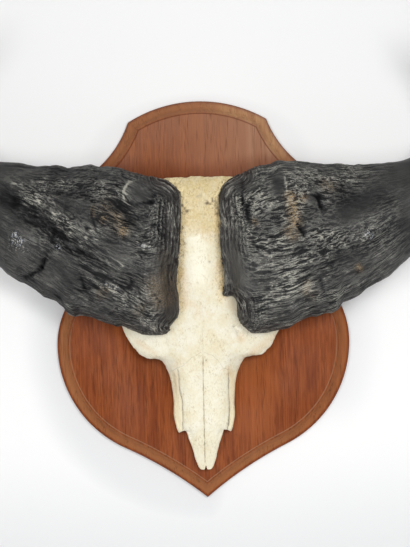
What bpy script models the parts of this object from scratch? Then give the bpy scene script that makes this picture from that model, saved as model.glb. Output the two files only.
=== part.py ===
"""Cape buffalo skull and horns on a carved wall board.

Metres, +Z up. The back of the board lies in the plane y = 0 and the face looks
along -Y, so the depth of a point in front of the wall is -y. The origin is the
middle of the board's back. The tables below are in millimetres.
"""

import math

import bmesh
import bpy
import numpy as np

MM = 0.001

# Clearance between pieces that touch, and round the bone where the horns sit on it
GAP = 0.0003
BONE_CLEARANCE = 0.0005

# Board: outline of the right half, as arcs from the top of the arch down to the tip
BOARD_HALF_HEIGHT = 0.329
BOARD_THICKNESS = 0.025
ARCH_RADIUS = 0.222
ARCH_HALF_WIDTH = 0.115
SHOULDER_RADIUS = 0.175
SHOULDER_HEADINGS = (20, 67)
SCOOP_DEPTH = 0.025
BELLY_HALF_WIDTH = 0.2425
BELLY_Z = -0.072
UPPER_BELLY_RADIUS = 0.140
UPPER_BELLY_ANGLE = 51
LOWER_BELLY_RADIUS = 0.190
LOWER_BELLY_ANGLE = -64
TIP_BOW = 0.005

# Board edge: distance in from the outline and depth, from the back to the flat field
EDGE_PROFILE = (
    (1.0, 0.0), (0.0, 1.0), (0.0, 8.5), (2.2, 12.4), (7.5, 14.2),
    (13.5, 16.4), (18.8, 21.6), (21.4, 22.6), (22.0, 25.0),
)

# Hanging plate let into the board's back, with its keyhole and two screws
PLATE_Z = 0.240
PLATE_SIZE = (0.019, 0.060)
PLATE_THICKNESS = 0.0016
KEYHOLE_RADIUS = 0.0048
KEYHOLE_SLOT_RADIUS = 0.0024
KEYHOLE_DROP = 0.006
KEYHOLE_RISE = 0.009
HEAD_POCKET = (0.013, 0.032, 0.010)
PLATE_SCREW_Z = 0.0235
PLATE_SCREW = {"head": 0.0032, "shank": 0.0016, "length": 0.014}

# Screws that hold the skull, driven from the board's back
SKULL_SCREWS = {"upper": (0.0, 0.120), "left": (-0.036, -0.030), "right": (0.036, -0.030)}
SKULL_SCREW = {"head": 0.0048, "shank": 0.0024, "length": 0.045}

# Skull, one row from nose to crest: z on the midline, x and z at the edge, depth on
# the midline, depth at the edge, squareness of the crown, lateness of the row's bend
SKULL_X = -0.0015
SKULL_ROWS = (
    (-270, 9.0, -278.5, 46, 44, 2.0, 0.35),
    (-260, 15.8, -264, 48, 45, 2.0, 1.0),
    (-246, 20.2, -247, 50, 46, 2.2, 1.0),
    (-229, 25.8, -230, 53, 47, 2.5, 1.0),
    (-217, 33.6, -211, 55, 47, 3.0, 4.0),
    (-208, 42.5, -217, 57, 44, 5.0, 9.0),
    (-196, 48.8, -197, 59, 43, 5.0, 1.0),
    (-170, 49.8, -167, 64, 45, 5.0, 1.0),
    (-141, 52.8, -135, 71, 47, 4.5, 1.0),
    (-117, 58.5, -114, 78, 50, 4.0, 1.0),
    (-102, 66.5, -99, 82, 52, 3.2, 1.2),
    (-90, 79.0, -94, 85, 53, 2.8, 1.5),
    (-78, 95.0, -92, 88, 54, 2.5, 1.6),
    (-65, 105.0, -85, 91, 54, 2.3, 1.7),
    (-50, 115.0, -72, 94, 53, 2.2, 1.8),
    (-35, 124.0, -56, 97, 51, 2.2, 1.8),
    (-20, 130.5, -40, 100, 49, 2.2, 1.8),
    (-5, 131.0, -20, 103, 47, 2.2, 1.8),
    (14, 122.0, 2, 107, 45, 2.2, 1.8),
    (38, 106.0, 30, 111, 41, 2.4, 1.6),
    (70, 96.0, 66, 116, 37, 2.6, 1.4),
    (110, 93.0, 108, 118, 35, 2.8, 1.2),
    (150, 90.0, 148, 116, 33, 3.0, 1.0),
    (178, 85.0, 174, 110, 31, 3.0, 1.0),
    (191, 80.0, 187, 104, 29, 3.0, 1.0),
    (198, 76.0, 195, 97, 28, 3.0, 1.0),
)
SKULL_COLUMNS = (0.0, 0.2, 0.4, 0.58, 0.7, 0.8, 0.9, 1.0)
BONE_THICKNESS = 8
HORN_BASE_THICKNESS = 26
HORN_BASE_FROM_Z = -36

# Skull underside: where it stands on the board, by z on the midline
NOSE_FREE_BELOW_Z = -214
NOSE_CAVITY_TO_Z = (-118, -96)
NOSE_WALL_FROM = (0.66, 0.82)
ORBIT_Z = (-99, -3)
ORBIT_WALL_X = 58

# Horns, from the edge by the midline to the tip. Each station is a chord of the front
# outline: x and z of its upper end, x and z of its lower end, front depth, back depth,
# depth of the upper and the lower edge, and squareness of the section. x is outward.
RIGHT_HORN = (
    (31, 157, 35, 10, 150, 95, 108, 97, 3.0),
    (36, 174, 46, 3, 164, 92, 102, 93, 2.8),
    (46, 185, 55, -10, 173, 88, 95, 89, 2.6),
    (62, 196, 60, -33, 181, 80, 86, 84, 2.5),
    (82, 205, 75, -51, 187, 68, 92, 77, 2.4),
    (106, 214, 98, -56, 191, 62, 100, 68, 2.3),
    (135, 217, 135, -46, 192, 64, 105, 74, 2.3),
    (170, 218, 181, -31, 186, 55, 100, 80, 2.2),
    (205, 215, 221, -15, 178, 46, 98, 86, 2.1),
    (248, 210, 268, 9, 167, 38, 95, 92, 2.0),
    (290, 210, 315, 42, 158, 37, 97, 95, 2.0),
    (335, 216, 375, 94, 154, 45, 99, 99, 2.0),
    (367, 238, 428, 160, 159, 67, 113, 113, 2.0),
    (383, 268, 456, 243, 174, 98, 136, 136, 2.0),
    (385, 309, 446, 322, 195, 134, 165, 165, 2.0),
    (376, 350, 416, 373, 218, 173, 196, 196, 2.0),
    (359, 386, 380, 404, 240, 214, 227, 227, 2.0),
    (344, 413, 347, 416, 251, 247, 249, 249, 2.0),
)
LEFT_HORN = (
    (29, 158, 38, 0, 150, 95, 108, 97, 3.0),
    (35, 179, 38, -22, 163, 92, 102, 92, 2.8),
    (50, 191, 50, -38, 173, 87, 94, 84, 2.6),
    (66, 196, 63, -48, 181, 78, 88, 80, 2.5),
    (86, 201, 80, -54, 186, 68, 92, 75, 2.4),
    (107, 208, 99, -51, 190, 62, 98, 68, 2.3),
    (135, 217, 130, -42, 192, 64, 104, 74, 2.3),
    (168, 220, 177, -24, 187, 55, 100, 80, 2.2),
    (202, 221, 215, -13, 180, 46, 98, 86, 2.1),
    (242, 222, 258, 19, 169, 38, 95, 92, 2.0),
    (284, 225, 303, 50, 160, 37, 97, 95, 2.0),
    (327, 231, 365, 101, 155, 45, 99, 99, 2.0),
    (360, 252, 420, 170, 159, 67, 113, 113, 2.0),
    (378, 286, 453, 258, 174, 98, 136, 136, 2.0),
    (382, 328, 445, 338, 195, 134, 165, 165, 2.0),
    (374, 370, 415, 392, 218, 173, 196, 196, 2.0),
    (358, 406, 380, 423, 241, 215, 228, 228, 2.0),
    (344, 434, 347, 437, 252, 248, 250, 250, 2.0),
)
RINGS_PER_STATION = 2
HORN_SIDES = 34

# Ridges, furrows, knobs and hollows of each horn: x and z of its two ends (the same
# for a round one), half-width, and height
RIGHT_RELIEF = (
    (170, 151, 170, 151, 15, 7), (187, 148, 187, 148, 11, -7), (74, 178, 77, 108, 9, -5),
    (96, 170, 120, 176, 20, 5), (100, 70, 150, 100, 24, 5), (112, 10, 150, 22, 18, 6),
    (190, 95, 300, 135, 13, 6), (215, 60, 320, 105, 14, -5), (230, 150, 275, 165, 22, -5),
    (240, 30, 300, 70, 14, 6), (330, 150, 395, 225, 16, 5),
)
LEFT_RELIEF = (
    (92, 172, 92, 172, 20, 9), (125, 150, 140, 158, 18, -6), (305, 205, 165, 102, 14, 7),
    (312, 176, 186, 84, 13, -8), (284, 88, 284, 88, 30, 9), (247, 77, 282, 42, 9, -8),
    (218, 102, 109, 30, 8, -5), (120, 70, 160, 25, 22, 5), (215, 45, 240, 40, 20, 6),
    (66, 60, 70, 0, 14, 5), (340, 160, 400, 235, 16, 5),
)
# Growth ridges across the boss: height, and distance between two of them
RIDGE_HEIGHT = 1.6
RIDGE_PITCH = 21.0
RIDGE_REACH = 190.0

COLOURS = {
    "stained wood": ((0.26, 0.098, 0.046), 0.42, 0.0),
    "bleached bone": ((0.86, 0.81, 0.63), 0.62, 0.0),
    "dark horn": ((0.052, 0.051, 0.047), 0.45, 0.0),
    "zinc steel": ((0.55, 0.55, 0.53), 0.35, 1.0),
}


def start_empty():
    """Remove every object of the scene."""
    for item in list(bpy.data.objects):
        bpy.data.objects.remove(item, do_unlink=True)


def material(name):
    """Return the named Principled material, made on first use."""
    found = bpy.data.materials.get(name)
    if found:
        return found
    colour, roughness, metallic = COLOURS[name]
    made = bpy.data.materials.new(name)
    made.use_nodes = True
    shader = made.node_tree.nodes["Principled BSDF"]
    shader.inputs["Base Color"].default_value = (*colour, 1.0)
    shader.inputs["Roughness"].default_value = roughness
    shader.inputs["Metallic"].default_value = metallic
    return made


def place(x, z, depth):
    """Stack x, z and depth in front of the wall as (n, 3) points."""
    x, z, depth = np.broadcast_arrays(x, z, depth)
    return np.stack([x, -depth, z], axis=-1).reshape(-1, 3)


def solid(name, points, faces, finish, sharp_angle=35):
    """Link one closed mesh, with its faces turned outward and round parts smooth."""
    mesh = bpy.data.meshes.new(name)
    mesh.from_pydata([tuple(p) for p in points], [], faces)
    work = bmesh.new()
    work.from_mesh(mesh)
    bmesh.ops.remove_doubles(work, verts=work.verts, dist=1e-6)
    bmesh.ops.recalc_face_normals(work, faces=work.faces)
    work.to_mesh(mesh)
    work.free()
    mesh.shade_smooth()
    mesh.set_sharp_from_angle(angle=math.radians(sharp_angle))
    mesh.materials.append(material(finish))
    made = bpy.data.objects.new(name, mesh)
    bpy.context.scene.collection.objects.link(made)
    return made


def tube_faces(rings, sides):
    """Quads between closed rings of equal sides, with a cap on each end."""
    faces = [
        (r * sides + i, r * sides + (i + 1) % sides,
         (r + 1) * sides + (i + 1) % sides, (r + 1) * sides + i)
        for r in range(rings - 1) for i in range(sides)
    ]
    first = tuple(range(sides))
    last = tuple(range((rings - 1) * sides, rings * sides))
    return faces + [first[::-1], last]


def cut(target, cutter):
    """Take the cutter's shape away from the target."""
    cutter.hide_render = True
    cutter.display_type = "WIRE"
    modifier = target.modifiers.new(cutter.name, "BOOLEAN")
    modifier.operation = "DIFFERENCE"
    modifier.solver = "EXACT"
    modifier.object = cutter


def arc(centre, radius, start, end, steps):
    """Points on an arc between two angles in degrees, without the last one."""
    angles = np.radians(np.linspace(start, end, steps + 1)[:-1])
    return np.asarray(centre) + radius * np.stack([np.cos(angles), np.sin(angles)], axis=1)


def bow(start, end, rise, steps):
    """Points on a shallow bow that stands off its chord to the left, without the last."""
    start, end = np.asarray(start), np.asarray(end)
    along = np.linspace(0, 1, steps + 1)[:-1, None]
    chord = end - start
    left = np.array([-chord[1], chord[0]]) / np.hypot(*chord)
    return start + along * chord + 4 * rise * along * (1 - along) * left


def board_outline():
    """Closed outline of the board, clockwise from the top as seen from the front."""
    arch_centre = (0.0, BOARD_HALF_HEIGHT - ARCH_RADIUS)
    corner_angle = math.degrees(math.acos(ARCH_HALF_WIDTH / ARCH_RADIUS))
    arch = arc(arch_centre, ARCH_RADIUS, 90, corner_angle, 6)
    corner = arc(arch_centre, ARCH_RADIUS, corner_angle, 0, 1)[0]

    first, last = SHOULDER_HEADINGS
    heading = np.array([math.cos(math.radians(first)), math.sin(math.radians(first))])
    shoulder_centre = corner + SHOULDER_RADIUS * heading
    shoulder = arc(shoulder_centre, SHOULDER_RADIUS, 180 + first, 180 + last, 6)
    ear = arc(shoulder_centre, SHOULDER_RADIUS, 180 + last, 0, 1)[0]

    upper_centre = (BELLY_HALF_WIDTH - UPPER_BELLY_RADIUS, BELLY_Z)
    upper_belly = arc(upper_centre, UPPER_BELLY_RADIUS, UPPER_BELLY_ANGLE, 0, 6)
    scoop = bow(ear, upper_belly[0], -SCOOP_DEPTH, 7)
    lower_centre = (BELLY_HALF_WIDTH - LOWER_BELLY_RADIUS, BELLY_Z)
    lower_belly = arc(lower_centre, LOWER_BELLY_RADIUS, 0, LOWER_BELLY_ANGLE, 9)
    lower_end = arc(lower_centre, LOWER_BELLY_RADIUS, LOWER_BELLY_ANGLE, 0, 1)[0]
    tip = np.array([0.0, -BOARD_HALF_HEIGHT])
    point = bow(lower_end, tip, -TIP_BOW, 6)

    right = np.concatenate([arch, shoulder, scoop, upper_belly, lower_belly, point, [tip]])
    left = right[-2:0:-1] * (-1, 1)
    return np.concatenate([right, left])


def inset(loop, distance):
    """Move a clockwise loop inward by a distance, with mitred corners."""
    ahead = np.roll(loop, -1, axis=0) - loop
    normal = np.stack([ahead[:, 1], -ahead[:, 0]], axis=1)
    normal /= np.linalg.norm(normal, axis=1, keepdims=True)
    before = np.roll(normal, 1, axis=0)
    mitre = (normal + before) / (1 + np.sum(normal * before, axis=1, keepdims=True))
    return loop + distance * mitre


def make_board():
    """The carved board: its outline carried in over the moulded edge."""
    outline = board_outline()
    rings = []
    for inward, depth in EDGE_PROFILE:
        ring = inset(outline, inward * MM)
        rings.append(place(ring[:, 0], ring[:, 1], depth * MM))
    faces = tube_faces(len(rings), len(outline))
    return solid("shield", np.concatenate(rings), faces, "stained wood")


def turned(name, x, z, profile, finish, sides=12):
    """A piece turned about an axis along Y: profile is (radius, depth) from behind."""
    angles = np.linspace(0, 2 * math.pi, sides, endpoint=False)
    rings = [place(x + r * np.cos(angles), z + r * np.sin(angles), d) for r, d in profile]
    return solid(name, np.concatenate(rings), tube_faces(len(profile), sides), finish)


def slab(name, loop, start, end, finish):
    """A flat loop of x, z points made into a slab between two depths."""
    rings = [place(loop[:, 0], loop[:, 1], depth) for depth in (start, end)]
    return solid(name, np.concatenate(rings), tube_faces(2, len(loop)), finish)


def screw_profile(size, start, grow=0.0):
    """Countersunk head, shank and point, from a start depth, grown all round."""
    head, shank, length = size["head"], size["shank"], size["length"]
    return (
        (head + grow, start - 3 * grow), (head + grow, start + 0.0004),
        (shank + grow, start + 0.0004 + head - shank),
        (shank + grow, start + length - 2 * shank), (0.3 * shank + grow, start + length + grow),
    )


def cross_loop(x, z, reach, half_width):
    """The cross-shaped drive of a screw head."""
    r, w = reach, half_width
    corners = [(w, w), (w, r), (-w, r), (-w, w), (-r, w), (-r, -w),
               (-w, -w), (-w, -r), (w, -r), (w, -w), (r, -w), (r, w)]
    return np.array(corners) + (x, z)


def make_screw(name, x, z, size, start, pieces):
    """A countersunk screw, and the holes it needs in the pieces it passes."""
    screw = turned(name, x, z, screw_profile(size, start), "zinc steel")
    drive = cross_loop(x, z, 0.62 * size["head"], 0.13 * size["head"])
    socket = slab(f"{name}_drive", drive, start - 0.001, start + 0.3 * size["head"], "zinc steel")
    cut(screw, socket)
    profile = screw_profile(size, start, GAP)
    hole = turned(f"{name}_hole", x, z, profile, "zinc steel")
    for piece in pieces:
        cut(piece, hole)
    return screw


def rounded_loop(width, height, z, steps=8):
    """A loop with half-round ends, upright, centred on x = 0."""
    radius = width / 2
    reach = height / 2 - radius
    top = arc((0, z + reach), radius, 180, 0, steps)
    bottom = arc((0, z - reach), radius, 0, -180, steps)
    return np.concatenate([top, [(radius, z + reach)], bottom, [(-radius, z - reach)]])


def keyhole_loop():
    """The keyhole: a round hole that opens upward into a narrow slot."""
    round_z = PLATE_Z - KEYHOLE_DROP
    half = math.degrees(math.asin(KEYHOLE_SLOT_RADIUS / KEYHOLE_RADIUS))
    hole = arc((0, round_z), KEYHOLE_RADIUS, 90 - half, half - 270, 20)
    end = arc((0, round_z), KEYHOLE_RADIUS, half - 270, 0, 1)
    slot = arc((0, PLATE_Z + KEYHOLE_RISE), KEYHOLE_SLOT_RADIUS, 180, 0, 8)
    last = [(KEYHOLE_SLOT_RADIUS, PLATE_Z + KEYHOLE_RISE)]
    return np.concatenate([hole, end, slot, last])


def make_hanger(board):
    """The keyhole plate, flush with the board's back, and its pocket and screws."""
    width, height = PLATE_SIZE
    plate = slab("hanger_plate", rounded_loop(width, height, PLATE_Z), 0.0,
                 PLATE_THICKNESS, "zinc steel")
    cut(plate, slab("keyhole", keyhole_loop(), -0.001, 2 * PLATE_THICKNESS, "zinc steel"))
    recess = rounded_loop(width + 2 * GAP, height + 2 * GAP, PLATE_Z)
    cut(board, slab("plate_recess", recess, -0.001, PLATE_THICKNESS + GAP, "zinc steel"))
    pocket_width, pocket_height, pocket_depth = HEAD_POCKET
    pocket = rounded_loop(pocket_width, pocket_height, PLATE_Z)
    cut(board, slab("head_pocket", pocket, -0.001, pocket_depth, "zinc steel"))
    for label, side in (("upper", 1), ("lower", -1)):
        z = PLATE_Z + side * PLATE_SCREW_Z
        make_screw(f"hanger_screw_{label}", 0.0, z, PLATE_SCREW, 0.0, (plate, board))


def ramp(value, start, end):
    """0 before start, 1 after end, and a smooth rise between."""
    t = np.clip((value - start) / (end - start), 0, 1)
    return t * t * (3 - 2 * t)


def skull_grid():
    """x, z, front depth and back depth of the skull, in millimetres, by row and column."""
    half = np.array(SKULL_COLUMNS)
    s = np.concatenate([-half[:0:-1], half])
    reach = np.abs(s)[None, :]
    mid_z, edge_x, edge_z, mid, edge, crown, bend = np.array(SKULL_ROWS).T[:, :, None]
    x = edge_x * s[None, :]
    z = mid_z + (edge_z - mid_z) * reach ** bend
    front = edge + (mid - edge) * (1 - reach ** crown)

    cavity = ramp(mid_z, *NOSE_CAVITY_TO_Z)
    walls = ramp(reach, *NOSE_WALL_FROM) * (mid_z > NOSE_FREE_BELOW_Z)
    in_orbit = (mid_z > ORBIT_Z[0]) & (mid_z < ORBIT_Z[1]) & (np.abs(x) > ORBIT_WALL_X)
    stands = np.maximum(cavity, walls) * ~in_orbit
    thickness = np.where(mid_z > HORN_BASE_FROM_Z, HORN_BASE_THICKNESS, BONE_THICKNESS)
    base = (BOARD_THICKNESS + GAP) / MM
    shell = np.maximum(front - thickness, base)
    back = shell + (base - shell) * stands
    return x, z, front, back


def skull_mesh():
    """Points and faces of the skull between its front and back surfaces."""
    x, z, front, back = (value * MM for value in skull_grid())
    rows, columns = x.shape
    points = np.concatenate([place(x + SKULL_X, z, front), place(x + SKULL_X, z, back)])
    index = np.arange(rows * columns).reshape(rows, columns)
    lift = rows * columns
    faces = []
    for r in range(rows - 1):
        for c in range(columns - 1):
            quad = (index[r, c], index[r, c + 1], index[r + 1, c + 1], index[r + 1, c])
            faces.append(quad)
            faces.append(tuple(i + lift for i in quad[::-1]))
    edge = np.concatenate([index[0, :-1], index[:-1, -1], index[-1, :0:-1], index[:0:-1, 0]])
    faces += [(b, a, a + lift, b + lift) for a, b in zip(edge, np.roll(edge, -1))]
    return points, [tuple(int(i) for i in face) for face in faces]


def make_skull():
    """The bleached skull, sawn flat where it stands on the board."""
    points, faces = skull_mesh()
    return solid("skull", points, faces, "bleached bone", 50)


def make_bone_clearance():
    """The skull grown all round, which shapes the horns' undersides."""
    points, faces = skull_mesh()
    grown = solid("bone_clearance", points, faces, "bleached bone")
    work = bmesh.new()
    work.from_mesh(grown.data)
    work.normal_update()
    moves = [vert.normal * BONE_CLEARANCE for vert in work.verts]
    for vert, move in zip(work.verts, moves):
        vert.co += move
    work.to_mesh(grown.data)
    work.free()
    return grown


def smooth_stations(stations, per_station):
    """Every column carried through its stations as a smooth curve along the horn."""
    table = np.array(stations, dtype=float)
    middle = (table[:, 0:2] + table[:, 2:4]) / 2
    step = np.hypot(*np.diff(middle, axis=0).T)
    along = np.concatenate([[0], np.cumsum(np.maximum(step, 12))])
    slope = np.gradient(table, along, axis=0)
    wanted = np.interp(np.arange((len(table) - 1) * per_station + 1) / per_station,
                       np.arange(len(table)), along)
    left = np.clip(np.searchsorted(along, wanted, side="right") - 1, 0, len(table) - 2)
    span = (along[left + 1] - along[left])[:, None]
    t = ((wanted - along[left])[:, None]) / span
    return ((2 * t**3 - 3 * t**2 + 1) * table[left] + (t**3 - 2 * t**2 + t) * span * slope[left]
            + (3 * t**2 - 2 * t**3) * table[left + 1] + (t**3 - t**2) * span * slope[left + 1])


def horn_points(stations, forms):
    """x, z and depth of the horn's rings, in millimetres, with x outward."""
    columns = smooth_stations(stations, RINGS_PER_STATION).T[:, :, None]
    top_x, top_z, low_x, low_z, front, back, top_edge, low_edge, square = columns
    turn = np.linspace(0, 2 * math.pi, HORN_SIDES, endpoint=False)[None, :]
    across = np.sign(np.cos(turn)) * np.abs(np.cos(turn)) ** (2 / square)
    bulge = np.abs(np.sin(turn)) ** (2 / square)
    share = (1 + across) / 2
    x = low_x + (top_x - low_x) * share
    z = low_z + (top_z - low_z) * share
    middle = low_edge + (top_edge - low_edge) * share
    centre = (top_edge + low_edge) / 2
    facing = np.sin(turn) > 0
    depth = np.where(facing, middle + (front - centre) * bulge, middle - (centre - back) * bulge)

    relief = np.zeros_like(depth)
    for from_x, from_z, to_x, to_z, half_width, height in forms:
        run_x, run_z = to_x - from_x, to_z - from_z
        length = max(run_x**2 + run_z**2, 1)
        near = np.clip(((x - from_x) * run_x + (z - from_z) * run_z) / length, 0, 1)
        away = (x - from_x - near * run_x) ** 2 + (z - from_z - near * run_z) ** 2
        relief += height * np.exp(-away / half_width**2)
    fade = 1 - ramp(x, 0.5 * RIDGE_REACH, RIDGE_REACH)
    relief += RIDGE_HEIGHT * fade * np.sin(2 * math.pi * x / RIDGE_PITCH + 0.02 * z)
    return x, z, depth + relief * bulge * facing


def make_horn(name, side, stations, forms, clearance):
    """One horn: its rings joined from the midline edge to the tip."""
    x, z, depth = horn_points(stations, forms)
    points = place(side * x * MM, z * MM, depth * MM)
    horn = solid(name, points, tube_faces(*x.shape), "dark horn", 50)
    cut(horn, clearance)
    return horn


def main():
    """Build the board, the hanger, the skull with its screws, and the horns."""
    start_empty()
    board = make_board()
    make_hanger(board)
    skull = make_skull()
    for label, (x, z) in SKULL_SCREWS.items():
        make_screw(f"skull_screw_{label}", x, z, SKULL_SCREW, 0.0, (board, skull))
    clearance = make_bone_clearance()
    make_horn("horn_right", 1, RIGHT_HORN, RIGHT_RELIEF, clearance)
    make_horn("horn_left", -1, LEFT_HORN, LEFT_RELIEF, clearance)


main()
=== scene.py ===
"""The finished look of a cape buffalo skull and its horns on a carved wall board.

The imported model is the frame. Tables are in millimetres on the frame's own axes: x to the
viewer's right, z up the wall, and depth forward from the wall, which is -Y. On a horn, x is
measured outward from the midline, so that both horns read the same way.
"""

import logging
import math
from dataclasses import dataclass
from enum import Enum
from itertools import product

import bpy
import numpy as np
from mathutils import Matrix, Vector


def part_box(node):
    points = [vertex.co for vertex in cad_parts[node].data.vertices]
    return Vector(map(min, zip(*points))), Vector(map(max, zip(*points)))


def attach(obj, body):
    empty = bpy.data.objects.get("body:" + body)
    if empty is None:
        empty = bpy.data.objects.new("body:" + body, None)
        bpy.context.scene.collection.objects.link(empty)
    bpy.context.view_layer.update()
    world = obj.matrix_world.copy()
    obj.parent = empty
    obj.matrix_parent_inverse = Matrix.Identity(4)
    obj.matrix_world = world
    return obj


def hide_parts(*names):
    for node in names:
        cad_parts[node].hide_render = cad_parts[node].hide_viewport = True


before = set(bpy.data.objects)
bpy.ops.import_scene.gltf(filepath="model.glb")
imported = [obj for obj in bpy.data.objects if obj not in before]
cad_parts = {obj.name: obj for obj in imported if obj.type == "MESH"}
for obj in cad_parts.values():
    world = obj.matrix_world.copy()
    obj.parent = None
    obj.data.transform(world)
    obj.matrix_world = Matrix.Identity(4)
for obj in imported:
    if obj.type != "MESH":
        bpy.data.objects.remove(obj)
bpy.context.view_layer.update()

log = logging.getLogger("skull_mount")

Array = np.ndarray
Socket = bpy.types.NodeSocket
Triple = tuple[float, float, float]
Row = tuple[float, ...]
GroupParts = tuple["Graph", list[Socket], bpy.types.Node]

MM = 0.001


class Slot(Enum):
    """The record's material slots."""

    BOARD = "board"
    BONE = "bone"
    HORN = "horn"
    HARDWARE = "hardware"


class Side(Enum):
    """Which way a horn points from the midline."""

    LEFT = -1
    RIGHT = 1


# Hanging hardware and the board's thickness, as in the solids, and where cuts start behind the back
PLATE_Z = 240.0
PLATE_SIZE = (19.0, 60.0)
PLATE_THICKNESS = 1.6
HEAD_POCKET = (13.0, 32.0, 10.0)
PLATE_SCREW_SPAN = 23.5
PLATE_SCREW = (3.2, 1.6, 14.0)
SKULL_SCREW = (4.8, 2.4, 45.0)
SKULL_SCREW_PLACES = ((0.0, 120.0), (-36.0, -30.0), (36.0, -30.0))
GAP = 0.3
BOARD_THICKNESS = 25.0
CUT_FROM = -1.0

# Moulded edge of the board: distance in from the outline, and depth
EDGE_FOOT = ((1.0, 0.0), (0.35, 0.15), (0.0, 1.0), (0.0, 5.0))
EDGE_CURVE = (
    (0.0, 8.3), (0.7, 10.6), (2.4, 12.4), (5.0, 13.6), (7.9, 14.3), (11.0, 15.0),
    (13.8, 16.6), (16.2, 19.1), (18.3, 21.4), (20.0, 22.3), (21.3, 22.6),
)
EDGE_STEP = ((21.6, 22.7), (21.75, 23.0), (21.9, 24.5), (22.2, 24.85), (22.7, 25.0), (24.0, 25.0))

# Skull, one row from nose to crest: z on the midline, x and z at the edge, depth on the
# midline, depth at the edge, squareness of the crown, lateness of the row's bend
SKULL_X = -1.5
SKULL_ROWS = (
    (-270, 9, -278.5, 46, 44, 2, 0.35),
    (-260, 15.8, -264, 48, 45, 2, 1),
    (-246, 20.2, -247, 50, 46, 2.2, 1),
    (-229, 25.8, -230, 53, 47, 2.5, 1),
    (-217, 33.6, -211, 55, 47, 3, 4),
    (-208, 42.5, -217, 57, 44, 5, 9),
    (-196, 48.8, -197, 59, 43, 5, 1),
    (-170, 49.8, -167, 64, 45, 5, 1),
    (-141, 52.8, -135, 71, 47, 4.5, 1),
    (-117, 58.5, -114, 78, 50, 4, 1),
    (-102, 66.5, -99, 82, 52, 3.2, 1.2),
    (-90, 79, -94, 85, 53, 2.8, 1.5),
    (-78, 95, -92, 88, 54, 2.5, 1.6),
    (-65, 105, -85, 91, 54, 2.3, 1.7),
    (-50, 115, -72, 94, 53, 2.2, 1.8),
    (-35, 124, -56, 97, 51, 2.2, 1.8),
    (-20, 130.5, -40, 100, 49, 2.2, 1.8),
    (-5, 131, -20, 103, 47, 2.2, 1.8),
    (14, 122, 2, 107, 45, 2.2, 1.8),
    (38, 106, 30, 111, 41, 2.4, 1.6),
    (70, 96, 66, 116, 37, 2.6, 1.4),
    (110, 93, 108, 118, 35, 2.8, 1.2),
    (150, 90, 148, 116, 33, 3.6, 1),
    (178, 85, 175, 110, 31, 5, 1),
    (191, 80, 189, 104, 29, 6.5, 1),
    (198, 76, 196.5, 97, 28, 7, 1),
)

# Seams between the bones of the face, as x and z along each
MIDLINE_SEAM = ((-0.9, -52), (-0.8, -82.8), (-1.2, -94.9), (-1.7, -129.3), (-2.4, -200), (-2.8, -266))
NASAL_SEAM = (
    (-50, -113), (-44.2, -109.3), (-33.8, -104.9), (-19.5, -92.4), (-5.4, -84.4), (0.1, -83.6),
    (13, -88.7), (22, -97.3), (30.8, -109.5), (40.1, -114),
)
LEFT_FLANK_SEAM = ((-42.6, -112), (-41, -124), (-40.5, -143), (-37.4, -163), (-36.8, -182), (-37.0, -211))
RIGHT_FLANK_SEAM = ((40.1, -114), (38.9, -145), (39.4, -183), (38.2, -201), (36.0, -213))

# Where the horns' inner edges lie on the bone, as x and z down each
LEFT_HORN_EDGE = (
    (-47.7, 189), (-33.2, 176.6), (-28.2, 162), (-28.9, 144.7), (-31.4, 107.6), (-36.5, 59),
    (-38.6, 33), (-35.8, 3), (-38.7, -26),
)
RIGHT_HORN_EDGE = (
    (39.8, 184), (29.9, 163.5), (29.2, 152), (33, 105.6), (33.3, 72), (36.7, 42), (32.5, 6.7),
)

# Small forms of the bone. In this and the tables of marks, forms and tones that follow, a row is
# half-width, then height or strength, then x and z of one point or of each point along a path
BONE_FORMS = (
    (13, 1.3, -20, -122, -18, -205), (13, 1.3, 19, -122, 15, -205), (14, 1.6, -60, -66, -84, -52),
    (14, 1.6, 60, -66, 84, -52), (2.8, -3.2, 51.6, -44.4, 52.4, -45.2), (3.2, -1, 53, -47, 62, -66),
    (4.5, -1.1, -62, -58, -57, -78), (8, -1.6, -50, -95, -60, -84), (8, -1.6, 50, -96, 60, -84),
    (4, 1.2, -88, -84, -104, -77), (4, 1.2, 88, -84, 104, -77), (16, -1.2, 0, 60, 0, 140),
    (1.6, -0.9, 3.4, -96.6, 3.6, -97), (14, 1.4, -14, 175, 20, 172), (18, -1, 0, -30, 0, -52),
    (5, -1.2, -24, -228, -28, -214), (5, -1.2, 22, -228, 27, -214),
)
# Dark and rusty marks, by strength
BONE_DARK_MARKS = (
    (2.3, 1, 51.6, -44.4, 51.9, -45.4), (1.5, 0.7, 3.4, -96.6, 3.6, -97), (2.2, 0.35, 52, -47, 56, -58),
    (3.5, 0.25, -63, -58, -61, -63), (3.4, 0.8, 11, 156, 24, 146), (3.2, 1, 23, 161, 28, 138),
    (2, 0.5, 29.5, 122, 30, 112), (3.2, 0.9, -27, 152, -20, 143), (2.4, 0.5, -20, 158, -16, 145),
    (1.8, 0.6, -27, 96, -25, 90), (1.4, 0.55, 14, 61, 14.5, 60), (1.7, 0.6, 30, 104, 31, 88),
    (1.8, 0.5, 33, 66, 34, 44), (3, 0.3, -4, 165, 2, 166), (2.4, 0.35, 12, 157, 20, 150),
    (1.5, 0.35, -35.5, 52, -37, 30), (1.6, 0.3, -33, 32, -34.5, 12), (1.4, 0.35, -6, 28, -5.5, 27.5),
    (1.5, 0.8, 36.5, -203, 35.5, -212), (1.1, 0.5, 39.3, -176, 38.4, -200),
)
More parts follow.
